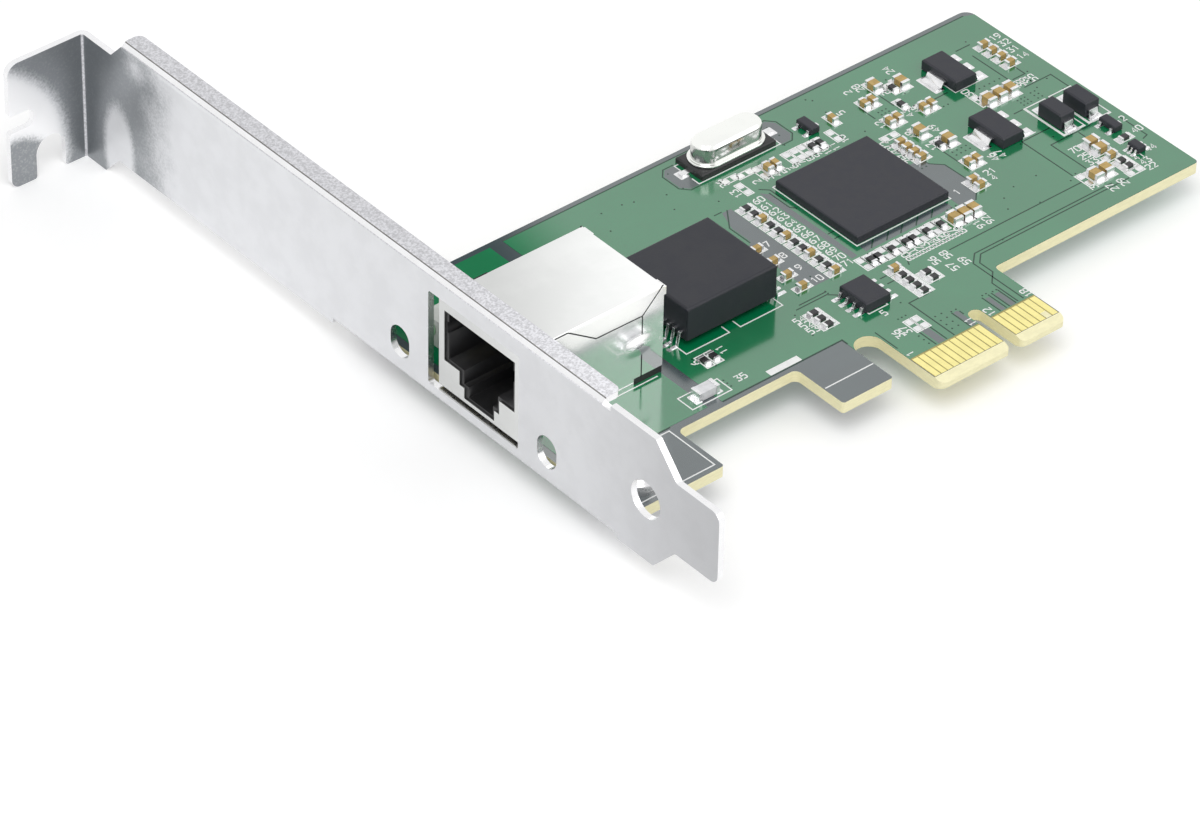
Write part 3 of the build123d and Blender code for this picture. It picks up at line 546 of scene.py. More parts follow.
def build_metals(look):
    """Finishes of the bracket, the socket's shell, the crystal and the screws."""
    along_y, along_z = (0, 1, 0), (0, 0, 1)
    finish("Zinc plate", look.plate, 1.06, (0.30, 0.38), 220, 2600, 4, 1.0, pits=0.5)
    # Painted reflection: the plate is darker at its low end in Y and grows lighter towards the top
    fall("Zinc plate", along_y, -16, 16, 0.74, 1.06)
    fall("Zinc plate", along_y, 0, 90, 1.0, 1.13)
    # Painted shade round the fold, and a painted highlight on the flange in the cut-edge colour
    darken_fold("Zinc plate", shade(look.fold, 1), shade(look.cut, 1.08))
    # Painted highlight on the cut edges and bends
    finish("Cut edge painted highlight", look.cut, 0.95, (0.22, 0.3), 400, 2600, 2, 1.0)
    # Speckled plating of the rims, with painted shade in its darker tone and painted light towards low Y
    finish("Zinc rim speckle and painted shade", look.rim, 1.45, (0.34, 0.46), 3600, 4200, 9, 1.0, pits=0.6)
    fall("Zinc rim speckle and painted shade", along_y, -6, 54, 1.30, 1.0)
    # Painted dark line on the bend beside its painted highlight
    finish("Bend painted dark line", look.line, 1.3, (0.3, 0.4), 900, 2600, 2, 1.0)
    finish("Socket shell", look.shell, 1.06, (0.10, 0.15), 90, 900, 0.4, 1.0)
    # Painted reflection: the shell's tone grows lighter along the direction (0.8, -0.6, 0)
    fall("Socket shell", (0.8, -0.6, 0), -69, -43, 0.72, 1.2)
    finish("Crystal can", look.can, 1.05, (0.10, 0.16), 120, 900, 1, 1.0)
    # Painted shade on the can's sides below its top, and a painted highlight at its foot
    fall("Crystal can", along_z, 3.2, 3.5, 0.62, 1.0)
    fall("Crystal can", along_z, 1.27, 1.4, 1.55, 1.0)
    finish("Screw plating", look.screw, 0.9, (0.22, 0.32), 700, 3000, 2, 1.0)


def build_board_finishes(look):
    """Finishes of the board, its print, pads and fingers."""
    finish("Green mask", look.mask, 1.12, (0.10, 0.16), 60, 1400, 1.5, ior=1.2)
    # The coat leaves out the corner behind the socket, so its lack of gloss stands in as painted shade
    gloss_coat("Green mask", 2.14, 0.13)
    finish("Bare mask", look.mask_bare, 1.15, (0.14, 0.20), 80, 2600, 2, ior=1.2, stretch=(1, 3, 1))
    gloss_coat("Bare mask", 2.25, 0.17)
    finish("Trace gap", look.mask_line, 1.2, (0.14, 0.22), 80, 1400, 1.5, ior=1.6)
    finish("Sawn laminate", look.laminate, 0.93, (0.55, 0.75), 900, 2400, 12, stretch=(1, 1, 5))
    finish("Print", look.print_white, 0.94, (0.4, 0.55), 900, 4000, 4)
    finish("Finger gold", look.gold, 0.93, (0.16, 0.26), 500, 2500, 1.5, 1.0)
    finish("Finger gap", look.gap, 0.8, (0.4, 0.5), 900, 2400, 4)
    finish("Tin", look.tin, 0.9, (0.2, 0.32), 900, 2600, 5, 1.0)


def build_part_finishes(look):
    """Finishes of the moulded and ceramic parts and the status lights."""
    finish("Chip moulding", look.chip, 1.25, (0.48, 0.58), 700, 5200, 6, pits=0.5)
    finish("Cast block", look.block, 1.2, (0.42, 0.52), 300, 3600, 7, pits=0.4)
    finish("Socket plastic", look.socket, 1.5, (0.38, 0.48), 300, 3600, 4)
    finish("Pale ceramic", look.pale, 0.9, (0.3, 0.4), 1500, 5000, 3)
    finish("Tan ceramic", look.tan, 0.82, (0.32, 0.45), 1500, 5000, 4)
    finish("Resistor glaze", look.resistor, 1.6, (0.22, 0.34), 1500, 5000, 2)
    finish("Light body", look.light_body, 0.9, (0.4, 0.5), 500, 2600, 4)
    finish("Light lens", look.lens, 1.15, (0.08, 0.12), 400, 2000, 1)


class CARD_OT_finishes(bpy.types.Operator):
    """Build the card's finishes"""
    bl_idname = "card.finishes"
    bl_label = "Finishes"

    def execute(self, context):
        # Three of these groups paint light and shade: round the fold, along a direction, and in the corner
        # behind the socket
        for build in (mottle_group, grain_group, fold_group, fall_group, dull_group):
            build()
        build_metals(context.scene.metal_look)
        build_board_finishes(context.scene.board_look)
        build_part_finishes(context.scene.part_look)
        return {"FINISHED"}


# Flat shapes on the board seen from above, in millimetres

def box(left, low, right, high):
    """Corners of a rectangle."""
    return [(left, low), (right, low), (right, high), (left, high)]


def arc(x, y, radius, start, end, count):
    """Points on a circle from one turn to another, in radians."""
    turns = np.linspace(start, end, count)
    return [(x + radius * math.cos(turn), y + radius * math.sin(turn)) for turn in turns]


# The board's thickness, and heights of the thin layers on its face
THICK = 1.57
BARE_RISE = 0.003
GROUND_HIGH = 0.012
SHORT_GROUND_HIGH = 0.018
GAP_HIGH = 0.038
HOLE_HIGH = 0.04
PRINT_HIGH = 0.05
PAD_HIGH = 0.06

# Copper areas: the way along the lower edge round the slot, the key notch and the far end is common to two
NOTCH = arc(0, 7.25, 0.98, math.pi, 0, 9)
SLOT = arc(-14, 10.7, 1.93, 2.88, 0, 8)
FAR_END = [(8.07, 12.5), (8.4, 12.82), (41.9, 12.82), (42.39, 13.3), (42.39, 53.5), (41.0, 54.1)]
FINGER_EDGE = [(-12.07, 5.75), (-0.98, 5.75)] + NOTCH + [(0.98, 5.75), (8.07, 5.75)]
LOWER_EDGE = [(-15.85, 13.65)] + SLOT + FINGER_EDGE + FAR_END
MAIN_POUR = [(-34.65, 13.65)] + LOWER_EDGE + [(-34.65, 54.1)]
UNDER_POUR = [(-56.2, 13.9)] + LOWER_EDGE + [(-56.2, 54.1)]
JACK_POUR = box(-56.2, 13.9, -36.7, 54.1)

# Ground between the fingers on both sides of the key notch, and the laminate before the shorter ones
FINGER_GROUNDS = (box(-12, 1.37, -1, 5.8), box(1, 1.37, 8, 5.8))
SHORT_FRONT = box(6.08, 1.37, 6.92, 2.57)
SHORT_BACK = box(-11.92, 1.37, -11.08, 2.57)

# Grey zones without copper, laid over the green
BARE_ZONES = (
    [(-12.3, 23.6), (-8.9, 23.6), (-8.9, 41.7), (-10.3, 41.7), (-11.4, 38.6), (-11.4, 35.2),
     (-12.3, 34.4)],
    [(-4.1, 24.9), (-3.2, 24.9), (-3.2, 41), (-4.1, 41.9)],
    [(13.3, 24.3), (15.6, 24.3), (16.8, 25.5), (17.6, 27.9), (17.5, 32), (16.2, 33.4), (16.2, 34.7),
     (13.3, 34.7)],
    box(-1.8, 24.9, 12.4, 26.2), box(-7.3, 5.85, -6.2, 8.9), box(-1.95, 5.85, -1.25, 9.2),
    box(2.9, 5.85, 3.55, 8.8), box(4.4, 5.85, 5.15, 8.8),
    [(-8.4, 47.9), (-8.4, 52.8), (-10, 52.8), (-10.9, 51.8), (-10.9, 48.9), (-10, 47.9)],
    [(4.7, 47.9), (6.3, 47.9), (7.2, 48.9), (7.2, 51.8), (6.3, 52.8), (4.7, 52.8)],
)

# Dark lines beside the traces
GAP_LINES = (
    [(10, 18.75), (28.2, 18.75)], [(10, 18.75), (6.2, 18.75)],
    [(31, 16.3), (8.1, 16.3), (6.6, 14.9), (6.6, 6)],
    [(33.4, 15.75), (8.6, 15.75), (7.3, 14.5), (7.3, 12.2), (5.7, 10.6), (5.7, 6)],
    [(-1, 13.95), (-4.75, 13.95), (-4.75, 5.9)], [(-11.8, 12.2), (-11.8, 8.2)],
    [(-7.65, 8.9), (-7.65, 5.9)], [(-5.95, 8.9), (-5.95, 5.9)], [(-2.1, 9.3), (-2.1, 5.9)],
    [(-1.1, 9), (-1.1, 8.2)], [(2.75, 9.2), (2.75, 5.9)], [(3.75, 9.2), (3.75, 5.9)],
    [(4.25, 9.2), (4.25, 5.9)], [(5.3, 9.2), (5.3, 5.9)], [(18.1, 47.8), (17.4, 47.6), (17.4, 44.6)],
    [(36, 47), (36, 40.4)], [(35, 49), (37.4, 49)], [(38.5, 42.3), (38.5, 40), (36.4, 40)],
    [(36.4, 37.85), (40.9, 37.85), (40.9, 34.6)], [(31.5, 34.5), (33, 34.5)],
    [(33, 29.55), (28.25, 29.55), (28.25, 20.4)],
    [(37.9, 27.3), (37.2, 26.8), (30.6, 26.8), (30.6, 20.4)], [(35.1, 26.6), (35.1, 25.4)],
    [(41.35, 25.8), (41.35, 20.9), (40.4, 20.6)], [(16.2, 34.8), (16.2, 33.4), (17.6, 32), (17.7, 27.9)],
    [(19.3, 35.4), (19.3, 30.8)], [(15.6, 24.2), (16.9, 25.5)], [(-15.8, 13.7), (-15.8, 12.6)],
    [(-34.6, 13.6), (-15.9, 13.6)], [(-34.6, 54.15), (41, 54.15)], [(-11.4, 41.9), (-10.2, 41.9)],
    [(-11.6, 35), (-11.6, 38.8), (-9.4, 41.8)], [(-16.2, 21.4), (-11.3, 21.4), (-10.2, 20.4)],
    [(-15.3, 21.9), (-10.9, 21.9)], [(-4.2, 19.7), (-2.8, 19.7)], [(-4.2, 18.4), (-2.8, 18.4)],
    [(0.4, 19.6), (1.6, 21.6)], [(-3.1, 41.2), (-3.1, 37.4), (-2.5, 36.7)],
    [(-3.6, 42.6), (-2.6, 41.6), (-2.6, 38.6)], [(-0.9, 24.95), (0.5, 26.2)], [(1.6, 24.95), (3, 26.2)],
    [(3.9, 24.95), (5.3, 26.2)], [(6.4, 24.95), (7.8, 26.2)], [(8.9, 24.95), (10.3, 26.2)],
    [(-3.1, 29.2), (-2, 29.2)], [(-3.1, 30.4), (-2, 30.4)],
    [(-8.4, 47.7), (-10.1, 47.7), (-11.1, 48.8), (-11.1, 51.9), (-10.1, 53), (-8.4, 53)],
    [(4.7, 47.7), (6.4, 47.7), (7.4, 48.8), (7.4, 51.9), (6.4, 53), (4.7, 53)],
    [(-44.9, 13.8), (-42.6, 13.8)], [(21.1, 45.2), (21.1, 48.9), (20.6, 49.5)],
    [(23.3, 43), (28.2, 43.1)],
)

# White lines, and white frames
PRINT_LINES = (
    [(-8.5, 49.4), (-8.5, 48), (4.75, 48), (4.75, 49.4)],
    [(-8.5, 51.3), (-8.5, 52.7), (4.75, 52.7), (4.75, 51.3)],
    [(-32, 25.3), (-32, 23.15), (-25.25, 23.15), (-25.25, 24.6)],
    [(-23.5, 24.6), (-23.5, 23.15), (-16.8, 23.15), (-16.8, 25.3)],
    [(-32, 35.8), (-32, 37.9), (-25.25, 37.9), (-25.25, 36.5)],
    [(-23.5, 36.5), (-23.5, 37.9), (-16.8, 37.9), (-16.8, 35.8)],
    [(-9.9, 15.7), (-9.9, 15.35), (-6.9, 15.35), (-6.9, 15.7)],
    [(28.95, 47.6), (28.95, 42.45), (34.5, 42.45)], [(25.4, 30), (31, 30)],
    [(33.33, 34.4), (33.33, 27.33), (36.6, 27.33)], [(37.58, 34.4), (37.58, 27.33), (41, 27.33)],
    [(-45.4, 22.1), (-37.4, 22.1)], [(-23.6, 7.85), (-16, 7.85)],
    [(-56.2, 13.3), (-43.15, 13.3), (-43.15, 5.2), (-56.4, 5.2)],
)
PRINT_FRAMES = (
    box(-38.4, 14.6, -32.3, 17.3), box(-1.97, 26.37, 13.4, 41.8), box(33.15, 27.15, 36.7, 34.45),
    box(37.4, 27.15, 41.1, 34.45),
)

# Printed numbers: number, middle X, middle Y, quarter turns
PLAIN_NUMBERS = (
    (7, -10.2, 33.5, 0), (8, -10.2, 30.6, 0), (9, -10.3, 27.6, 0), (10, -10.1, 24.5, 0),
    (5, -8.4, 14.4, 0), (6, -32.3, 21.2, 1), (11, -28.2, 21.2, 1), (35, -29.9, 15.8, 0),
    (54, -17.2, 19.7, 0), (52, -17.2, 18.5, 0), (53, -17.2, 17.2, 0), (36, -9.9, 10.2, 1),
    (37, -8.7, 10.2, 1), (26, -6.3, 46.3, 1), (13, -6.3, 43.6, 1), (2, -2.7, 43.9, 1), (1, 14.9, 26.9, 0),
    (5, 14.9, 48.2, 1), (2, 18.5, 50.9, 1), (28, 20.1, 50.8, 1), (24, 25.6, 51.3, 1), (12, 17.2, 43.2, 1),
    (43, 21.3, 42.9, 1), (45, 22.8, 42.9, 1), (18, 22, 48.1, 0), (19, 41, 48.2, 0), (32, 41.1, 46.6, 0),
    (31, 41, 44.9, 0), (14, 41, 43.1, 0), (30, 30, 41.4, 1), (38, 36.4, 38.8, 1), (39, 37.5, 38.8, 1),
    (55, 38.5, 38.8, 1), (21, 20.9, 27.5, 0), (4, 20.5, 26.3, 0), (46, 23.3, 29.4, 1),
    (47, 24.5, 29.4, 1), (70, 32.2, 24.2, 0), (25, 32.2, 22.5, 0), (33, 32.2, 21.1, 0),
    (41, 37.4, 18.3, 0), (43, 37.4, 17.1, 0), (22, 37.2, 15.8, 0), (44, 39.8, 18.7, 0),
    (40, 41.2, 22.6, 0), (2, 41.4, 25.3, 0), (3, 28.7, 17, 1), (27, 30.4, 15.6, 1), (29, 32.2, 15.6, 1),
    (48, 18.7, 39.3, 1), (49, 21.7, 38.5, 1), (17, 19, 35.8, 1), (1, -11.3, 6.5, 1), (11, -1.5, 6.6, 1),
    (12, 1.6, 6.6, 1), (18, 7.6, 6.6, 1), (16, 11.5, 43.9, 1), (56, 3.3, 18.3, 1), (57, 4.25, 16, 1),
    (58, 5.2, 18.3, 1), (59, 6.15, 16, 1),
)

# Printed numbers in rows: first number, how many, first X and Y, their steps, quarter turns
NUMBER_ROWS = (
    (60, 12, -5.1, 40.9, 0, -1.48, 0), (80, 9, 1.4, 20.9, 1.07, 0, 1), (91, 2, 12.5, 20.3, 1.5, 0, 1),
    (72, 4, 14.75, 39.6, 0, -1.25, 1), (3, 9, -1.1, 43.4, 1.33, 0, 1),
)

# Empty pads, without a part: middle X, middle Y, and 1 where the pair stands upright
EMPTY_PAIRS = (
    (28.8, 18.8, 1), (34.9, 16.3, 0), (-7.35, 10.3, 1), (-6.2, 10.3, 1), (16.2, 40.6, 0), (30, 39.2, 1),
    (-1.17, 45.02, 1), (3.7, 45.02, 1), (4.95, 45.02, 1), (6.18, 45.02, 1), (11, 45.1, 1), (-5, 43.7, 1),
    (-3.74, 23.12, 1), (-0.32, 23.12, 1), (1.96, 23.12, 1), (5.38, 23.12, 1), (7.66, 23.12, 1),
    (-5, 46.3, 0), (-2.8, 46, 0),
)

# Fields of small plated holes: first X, first Y, columns, rows, pitch
VIA_FIELDS = (
    (18.6, 44.1, 3, 3, 0.62), (22.8, 41.2, 6, 1, 0.75), (20.1, 32.6, 4, 2, 0.75), (31, 41.2, 6, 1, 0.85),
    (33.8, 35.1, 3, 3, 0.6), (36.2, 35.1, 2, 3, 0.7), (-7.9, 12.4, 3, 1, 0.6), (-8.2, 6.6, 1, 3, 0.9),
    (-4.1, 7, 2, 4, 1), (-1.95, 9.5, 2, 1, 0.75), (3.1, 9.5, 2, 1, 0.6), (4.6, 9.3, 2, 1, 0.6),
    (-11, 21.5, 1, 2, 0.5), (11.5, 24.9, 3, 1, 0.7), (14.9, 33.2, 2, 1, 0.7), (-31.9, 15.2, 1, 3, 0.7),
)

# Strokes of the digits in a cell DIGIT_WIDE wide and 1 high, and the step from one cell to the next
DIGIT_WIDE, DIGIT_STEP = 0.6, 0.85
DIGITS = (
    [(0.1, 0), (0.5, 0), (0.6, 0.15), (0.6, 0.85), (0.5, 1), (0.1, 1), (0, 0.85), (0, 0.15), (0.1, 0)],
    [(0.12, 0.8), (0.34, 1), (0.34, 0)],
    [(0, 0.85), (0.1, 1), (0.5, 1), (0.6, 0.85), (0.6, 0.6), (0, 0), (0.6, 0)],
    [(0, 1), (0.6, 1), (0.3, 0.6), (0.6, 0.38), (0.6, 0.12), (0.5, 0), (0.1, 0), (0, 0.12)],
    [(0.45, 0), (0.45, 1), (0, 0.3), (0.6, 0.3)],
    [(0.6, 1), (0.05, 1), (0, 0.55), (0.45, 0.6), (0.6, 0.45), (0.6, 0.15), (0.5, 0), (0, 0)],
    [(0.5, 1), (0.15, 0.8), (0, 0.45), (0, 0.12), (0.1, 0), (0.5, 0), (0.6, 0.12), (0.6, 0.4),
     (0.5, 0.52), (0.05, 0.5)],
    [(0, 1), (0.6, 1), (0.2, 0)],
    [(0.12, 0.52), (0, 0.65), (0, 0.88), (0.1, 1), (0.5, 1), (0.6, 0.88), (0.6, 0.65), (0.48, 0.52),
     (0.12, 0.52), (0, 0.4), (0, 0.12), (0.1, 0), (0.5, 0), (0.6, 0.12), (0.6, 0.4), (0.48, 0.52)],
    [(0.1, 0), (0.45, 0.2), (0.6, 0.55), (0.6, 0.88), (0.5, 1), (0.1, 1), (0, 0.88), (0, 0.62),
     (0.1, 0.5), (0.6, 0.5)],
)

# White bar beside the hook
BAR_LOW, BAR_HIGH, BAR_ROUND = (-26.95, 13.7), (-22.05, 14.72), 0.05

# Rounding of edges that no property holds, in millimetres
SCREW_BEVEL = 0.12
BOARD_BEVEL = 0.03
FINGER_BEVEL = 0.015
CAN_BEVEL = 0.14
CAN_ANGLE = 40

# Bracket in millimetres: X behind the plate, where the rims' tops start along X and their two ends along Y,
# and where the flange's bend starts along Y
PLATE_BACK, RIM_START, RIM_LOW, RIM_HIGH = -59.3, -57.8, -6, 104
FLANGE_BEND = 104.9

# Share of a normal that makes a face flat along an axis, and between which it lies on a bend
FLAT, BEND_LEAST, BEND_MOST = 0.93, 0.05, 0.99

# How far a bend's facet faces up: up to where it is plain, from where it is rim, with a painted highlight
# between them, and the facets that are speckled like the rim and those that carry a painted dark line
PLAIN_RISE, RIM_RISE = 0.45, 0.86
SPECKLED_RISE, DARK_RISE, RISE_WITHIN = 0.425, 0.885, 0.025


def sheet_parts(normals, centres):
    """0 for the bracket's faces, 1 for painted highlights on cut edges and bends, 2 for rims and fold, 3 for
    painted dark lines.
    """
    x, y = (centres / MM).T[:2]
    lean, rise = normals[:, 0], np.abs(normals[:, 2])
    facing = np.where(x < PLATE_BACK, np.abs(normals[:, 1]), np.abs(lean))
    kinds = np.where(facing < FLAT, 1, 0)
    bend = (lean < -BEND_LEAST) & (rise > BEND_LEAST) & (rise < BEND_MOST) & (x > PLATE_BACK)
    # Bend facets between the plain and the rim levels carry the painted highlight
    kinds = np.where(bend, np.where(rise < PLAIN_RISE, 0, np.where(rise > RIM_RISE, 2, 1)), kinds)
    kinds = np.where(bend & (np.abs(rise - SPECKLED_RISE) < RISE_WITHIN), 2, kinds)
    # The facet at this rise carries the painted dark line
    kinds = np.where(bend & (np.abs(rise - DARK_RISE) < RISE_WITHIN), 3, kinds)
    sideways = 0.1
    fold = (y > FLANGE_BEND) & (rise < sideways) & (np.abs(lean) > BEND_LEAST) & (np.abs(lean) < BEND_MOST)
    kinds = np.where(fold, 2, kinds)
    return np.where((x > RIM_START) & (rise > FLAT) & (y > RIM_LOW) & (y < RIM_HIGH), 2, kinds)


class CARD_OT_bracket(bpy.types.Operator):
    """Dress the folded bracket with plated sheet and rounded cut edges"""
    bl_idname = "card.bracket"
    bl_label = "Bracket"

    def execute(self, context):
        bevel = context.scene.metal_look.sheet_bevel
        # The cut-edge finish carries a painted highlight, the rim finish painted shade, the bend-line finish
        # a painted dark line
        skins = ("Zinc plate", "Cut edge painted highlight", "Zinc rim speckle and painted shade", "Bend painted dark line")
        dressed("bracket", "bracket_steel", bevel, 3, *skins, pick=sheet_parts)
        return {"FINISHED"}


class CARD_OT_screws(bpy.types.Operator):
    """Round the bracket screws' heads"""
    bl_idname = "card.screws"
    bl_label = "Bracket screws"

    def execute(self, context):
        dressed("bracket_screws", "screw_steel", SCREW_BEVEL * MM, 2, "Screw plating")
        return {"FINISHED"}


def on_side(normals, centres):
    """1 for the board's sawn edges and bevelled tips, and 0 for its two lacquered faces."""
    face_level, tips_end = 0.98, 1.3 * MM
    return (np.abs(normals[:, 2]) < face_level) | (centres[:, 1] < tips_end)


def both_faces(upper, lower, high):
    """The same thin layer on the board's upper and lower face."""
    return [plates(upper, 0, high), plates(lower, -THICK - high, -THICK)]


class CARD_OT_board(bpy.types.Operator):
    """Dress the board: lacquered faces, sawn edges, copper areas and copper-free zones"""
    bl_idname = "card.board"
    bl_label = "Circuit board"

    def execute(self, context):
        raised = context.scene.board_look.copper_thick / MM
        dressed("circuit_board", "board", BOARD_BEVEL * MM, 1, "Bare mask", "Sawn laminate", pick=on_side)
        pours = [plates([JACK_POUR], 0, raised)] + both_faces([MAIN_POUR], [UNDER_POUR], raised)
        add_piece("copper_pour", pours, "Green mask")
        zones = [plates([zone], 0, raised + BARE_RISE) for zone in BARE_ZONES]
        add_piece("bare_zones", zones, "Bare mask")
        grounds = both_faces(FINGER_GROUNDS, FINGER_GROUNDS, GROUND_HIGH)
        add_piece("finger_ground", grounds, "Finger gap")
        short_grounds = both_faces([SHORT_FRONT], [SHORT_BACK], SHORT_GROUND_HIGH)
        add_piece("short_finger_ground", short_grounds, "Sawn laminate")
        return {"FINISHED"}


class CARD_OT_fingers(bpy.types.Operator):
    """Gild the edge fingers"""
    bl_idname = "card.fingers"
    bl_label = "Edge fingers"

    def execute(self, context):
        dressed("edge_contacts", "gold", FINGER_BEVEL * MM, 1, "Finger gold")
        return {"FINISHED"}


# Folded seams on the shell's side, as X and Z in millimetres, and the side's and the socket's middle Y
SEAMS = (
    [(-58.1, 12.8), (-51.04, 12.8), (-46.74, 9.9), (-39.64, 9.8), (-36.5, 12.9)],
    [(-39.64, 9.7), (-39.64, 0.9)],
)
SIDE_Y, MIDDLE_Y = 22.5, 29.95

# How far a seam's strip stands out of the shell and reaches into it
SEAM_OUT, SEAM_IN = 0.012, 0.03

# Swelling of the shell's side: middle X and Z, half sizes, rise
DIMPLE = ((-40.1, 5.6), (3.2, 1.7), 0.2)
DIMPLE_ANGLE = 40


def seam_strips(wide):
    """Thin dark strips that mark the shell's seams on its two sides."""
    parts = []
    for side, low, high in ((SIDE_Y, -SEAM_OUT, SEAM_IN), (2 * MIDDLE_Y - SIDE_Y, -SEAM_IN, SEAM_OUT)):
        for seam in SEAMS:
            points, faces = ribbon(seam, wide, side + low, side + high)
            parts.append((points[:, [0, 2, 1]], [block[:, ::-1] for block in faces]))
    return parts


def dimple(centre, half, rise):
    """
    Closed oval swelling on the shell's side.
    Point (r, t) is centre + (half_x r cos t, half_z r sin t), raised out by rise (1 - r^2)^2.
    """
    rings, sides, first_ring, back = 12, 40, 0.02, 0.02
    turn = np.linspace(0, 2 * math.pi, sides, endpoint=False)
    r, t = np.meshgrid(np.linspace(first_ring, 1, rings), turn, indexing="ij")
    x = centre[0] + half[0] * r * np.cos(t)
    z = centre[1] + half[1] * r * np.sin(t)
    y = SIDE_Y - rise * (1 - r ** 2) ** 2
    points = np.stack([x, y, z], axis=2)
    points = np.concatenate([points, points[-1:] + np.array([0, back, 0])], axis=0)
    return lofts(points[None])


class CARD_OT_jack(bpy.types.Operator):
    """Dress the network socket: shell, seams, dimple, plastic, spring wires and lights"""
    bl_idname = "card.jack"
    bl_label = "Network socket"

    def execute(self, context):
        look, part = context.scene.metal_look, context.scene.part_look
        dressed("jack_shield", "shield", look.shell_bevel, 2, "Socket shell")
        dressed("jack_housing", "black_plastic", part.body_bevel, 1, "Socket plastic")
        dressed("jack_contacts", "gold", part.lead_bevel, 1, "Finger gold")
        dressed("light_bodies", "light_body", part.body_bevel, 1, "Light body")
        dressed("light_lenses", "light_lens", part.body_bevel, 1, "Light lens")
        add_piece("shell_seams", seam_strips(look.seam_wide / MM), "Socket plastic")
        swelling = add_piece("shell_dimple", [dimple(*DIMPLE)], "Socket shell", smooth=True)
        swelling.data.set_sharp_from_angle(angle=math.radians(DIMPLE_ANGLE))
        return {"FINISHED"}


class CARD_OT_magnetics(bpy.types.Operator):
    """Dress the magnetics block and its leads"""
    bl_idname = "card.magnetics"
    bl_label = "Magnetics"

    def execute(self, context):
        part = context.scene.part_look
        dressed("magnetics_body", "dark_moulding", 2 * part.body_bevel, 2, "Cast block")
        dressed("magnetics_leads", "tin", part.lead_bevel, 1, "Tin")
        return {"FINISHED"}


class CARD_OT_chips(bpy.types.Operator):
    """Dress the moulded chips, regulators, diodes and transistors with their leads"""
    bl_idname = "card.chips"
    bl_label = "Chips"

    def execute(self, context):
        part = context.scene.part_look
        bodies = ("memory_body", "driver_body", "transistor_bodies", "regulator_bodies", "diode_bodies")
        for name in ("controller_chip",) + bodies:
            dressed(name, "dark_moulding", part.body_bevel, 2, "Chip moulding")
        for name in ("memory_leads", "driver_leads", "transistor_leads", "regulator_leads", "diode_leads"):
            dressed(name, "tin", part.lead_bevel, 1, "Tin")
        return {"FINISHED"}


class CARD_OT_crystal(bpy.types.Operator):
    """Dress the crystal's can, base strip and tails"""
    bl_idname = "card.crystal"
    bl_label = "Crystal"

    def execute(self, context):
        part = context.scene.part_look
        dressed("crystal_can", "shield", CAN_BEVEL * MM, 3, "Crystal can", angle=CAN_ANGLE)
        dressed("crystal_base", "black_plastic", part.body_bevel, 1, "Socket plastic")
        dressed("crystal_tails", "tin", part.lead_bevel, 1, "Tin")
        return {"FINISHED"}


class CARD_OT_chip_parts(bpy.types.Operator):
    """Dress the capacitors and resistors with their tinned ends"""
    bl_idname = "card.chip_parts"
    bl_label = "Capacitors and resistors"

    def execute(self, context):
        bevel = context.scene.part_look.lead_bevel
        dressed("ceramic_capacitors", "tan_ceramic", bevel, 1, "Tan ceramic")
        dressed("bulk_capacitor", "pale_ceramic", 2 * bevel, 2, "Pale ceramic")
        dressed("resistors", "resistor_ceramic", bevel, 1, "Resistor glaze")
        for name in ("capacitor_ends", "resistor_ends", "bulk_capacitor_ends"):
            dressed(name, "tin", bevel, 1, "Tin")
        return {"FINISHED"}


# Pads: how far they show on a part's other sides, their corners, and the printed frame's distance from them
PAD_INSIDE = 0.04
PAD_ROUND = 0.12
FRAME_GAP = 0.1

# Empty pads: half their size along and across the pair, their distance from its middle, and the
# frame's distance from them
EMPTY_ALONG, EMPTY_ACROSS, EMPTY_STEP, EMPTY_FRAME_GAP = 0.46, 0.4, 0.72, 0.12

# Pads of bent leads: leads, bodies, reach beyond the tip and to the sides, and length behind the tip
LEAD_PADS = (
    ("magnetics_leads", "magnetics_body", 0.5, 0.08, 0.9), ("memory_leads", "memory_body", 0.5, 0.12, 1.1),
    ("driver_leads", "driver_body", 0.35, 0.1, 0.6), ("diode_leads", "diode_bodies", 0.45, 0.3, 0.9),
    ("transistor_leads", "transistor_bodies", 0.35, 0.15, 0.8),
    ("regulator_leads", "regulator_bodies", 0.35, 0.4, 1.2),
    ("bulk_capacitor_ends", "bulk_capacitor", 0.5, 0.1, 0.5),
    ("crystal_tails", "crystal_base", 0.4, 0.35, 1.0),
)


def nearest_to(low, high, body_low, body_high):
    """Each box's nearest body, and the way from that body's middle to the box's."""
    middle, centre = (low + high) / 2, (body_low + body_high) / 2
    nearest = np.argmin(np.linalg.norm(middle[:, None] - centre[None], axis=2), axis=1)
    return nearest, middle - centre[nearest]


def chip_part_pads(ends, bodies, reach):
    """
    Lows and highs of the pads of two-ended parts and of their frames.
    A pad is the end cap's box drawn out away from its part's middle.
    """
    low, high = islands(ends)
    nearest, away = nearest_to(low, high, *islands(bodies))
    side = np.sign(away) * (np.abs(away) > np.abs(away[:, ::-1]))
    low = low - np.where(side < 0, reach, PAD_INSIDE)
    high = high + np.where(side > 0, reach, PAD_INSIDE)
    order = np.argsort(nearest, kind="stable").reshape(-1, 2)
    return low, high, np.min(low[order], axis=1) - FRAME_GAP, np.max(high[order], axis=1) + FRAME_GAP


def lead_pads(leads, bodies, reach, across, inner):
    """Pads of bent leads: from a little beyond each foot's tip to some way behind it."""
    low, high = islands(leads)
    body_low, body_high = islands(bodies)
    nearest, away = nearest_to(low, high, body_low, body_high)
    away = away / ((body_high - body_low) / 2)[nearest]
    along = np.abs(away) > np.abs(away[:, ::-1])
    up, down = along & (away > 0), along & (away < 0)
    new_low = np.where(down, low - reach, np.where(up, high - inner, low - across))
    new_high = np.where(up, high + reach, np.where(down, low + inner, high + across))
    return new_low, new_high


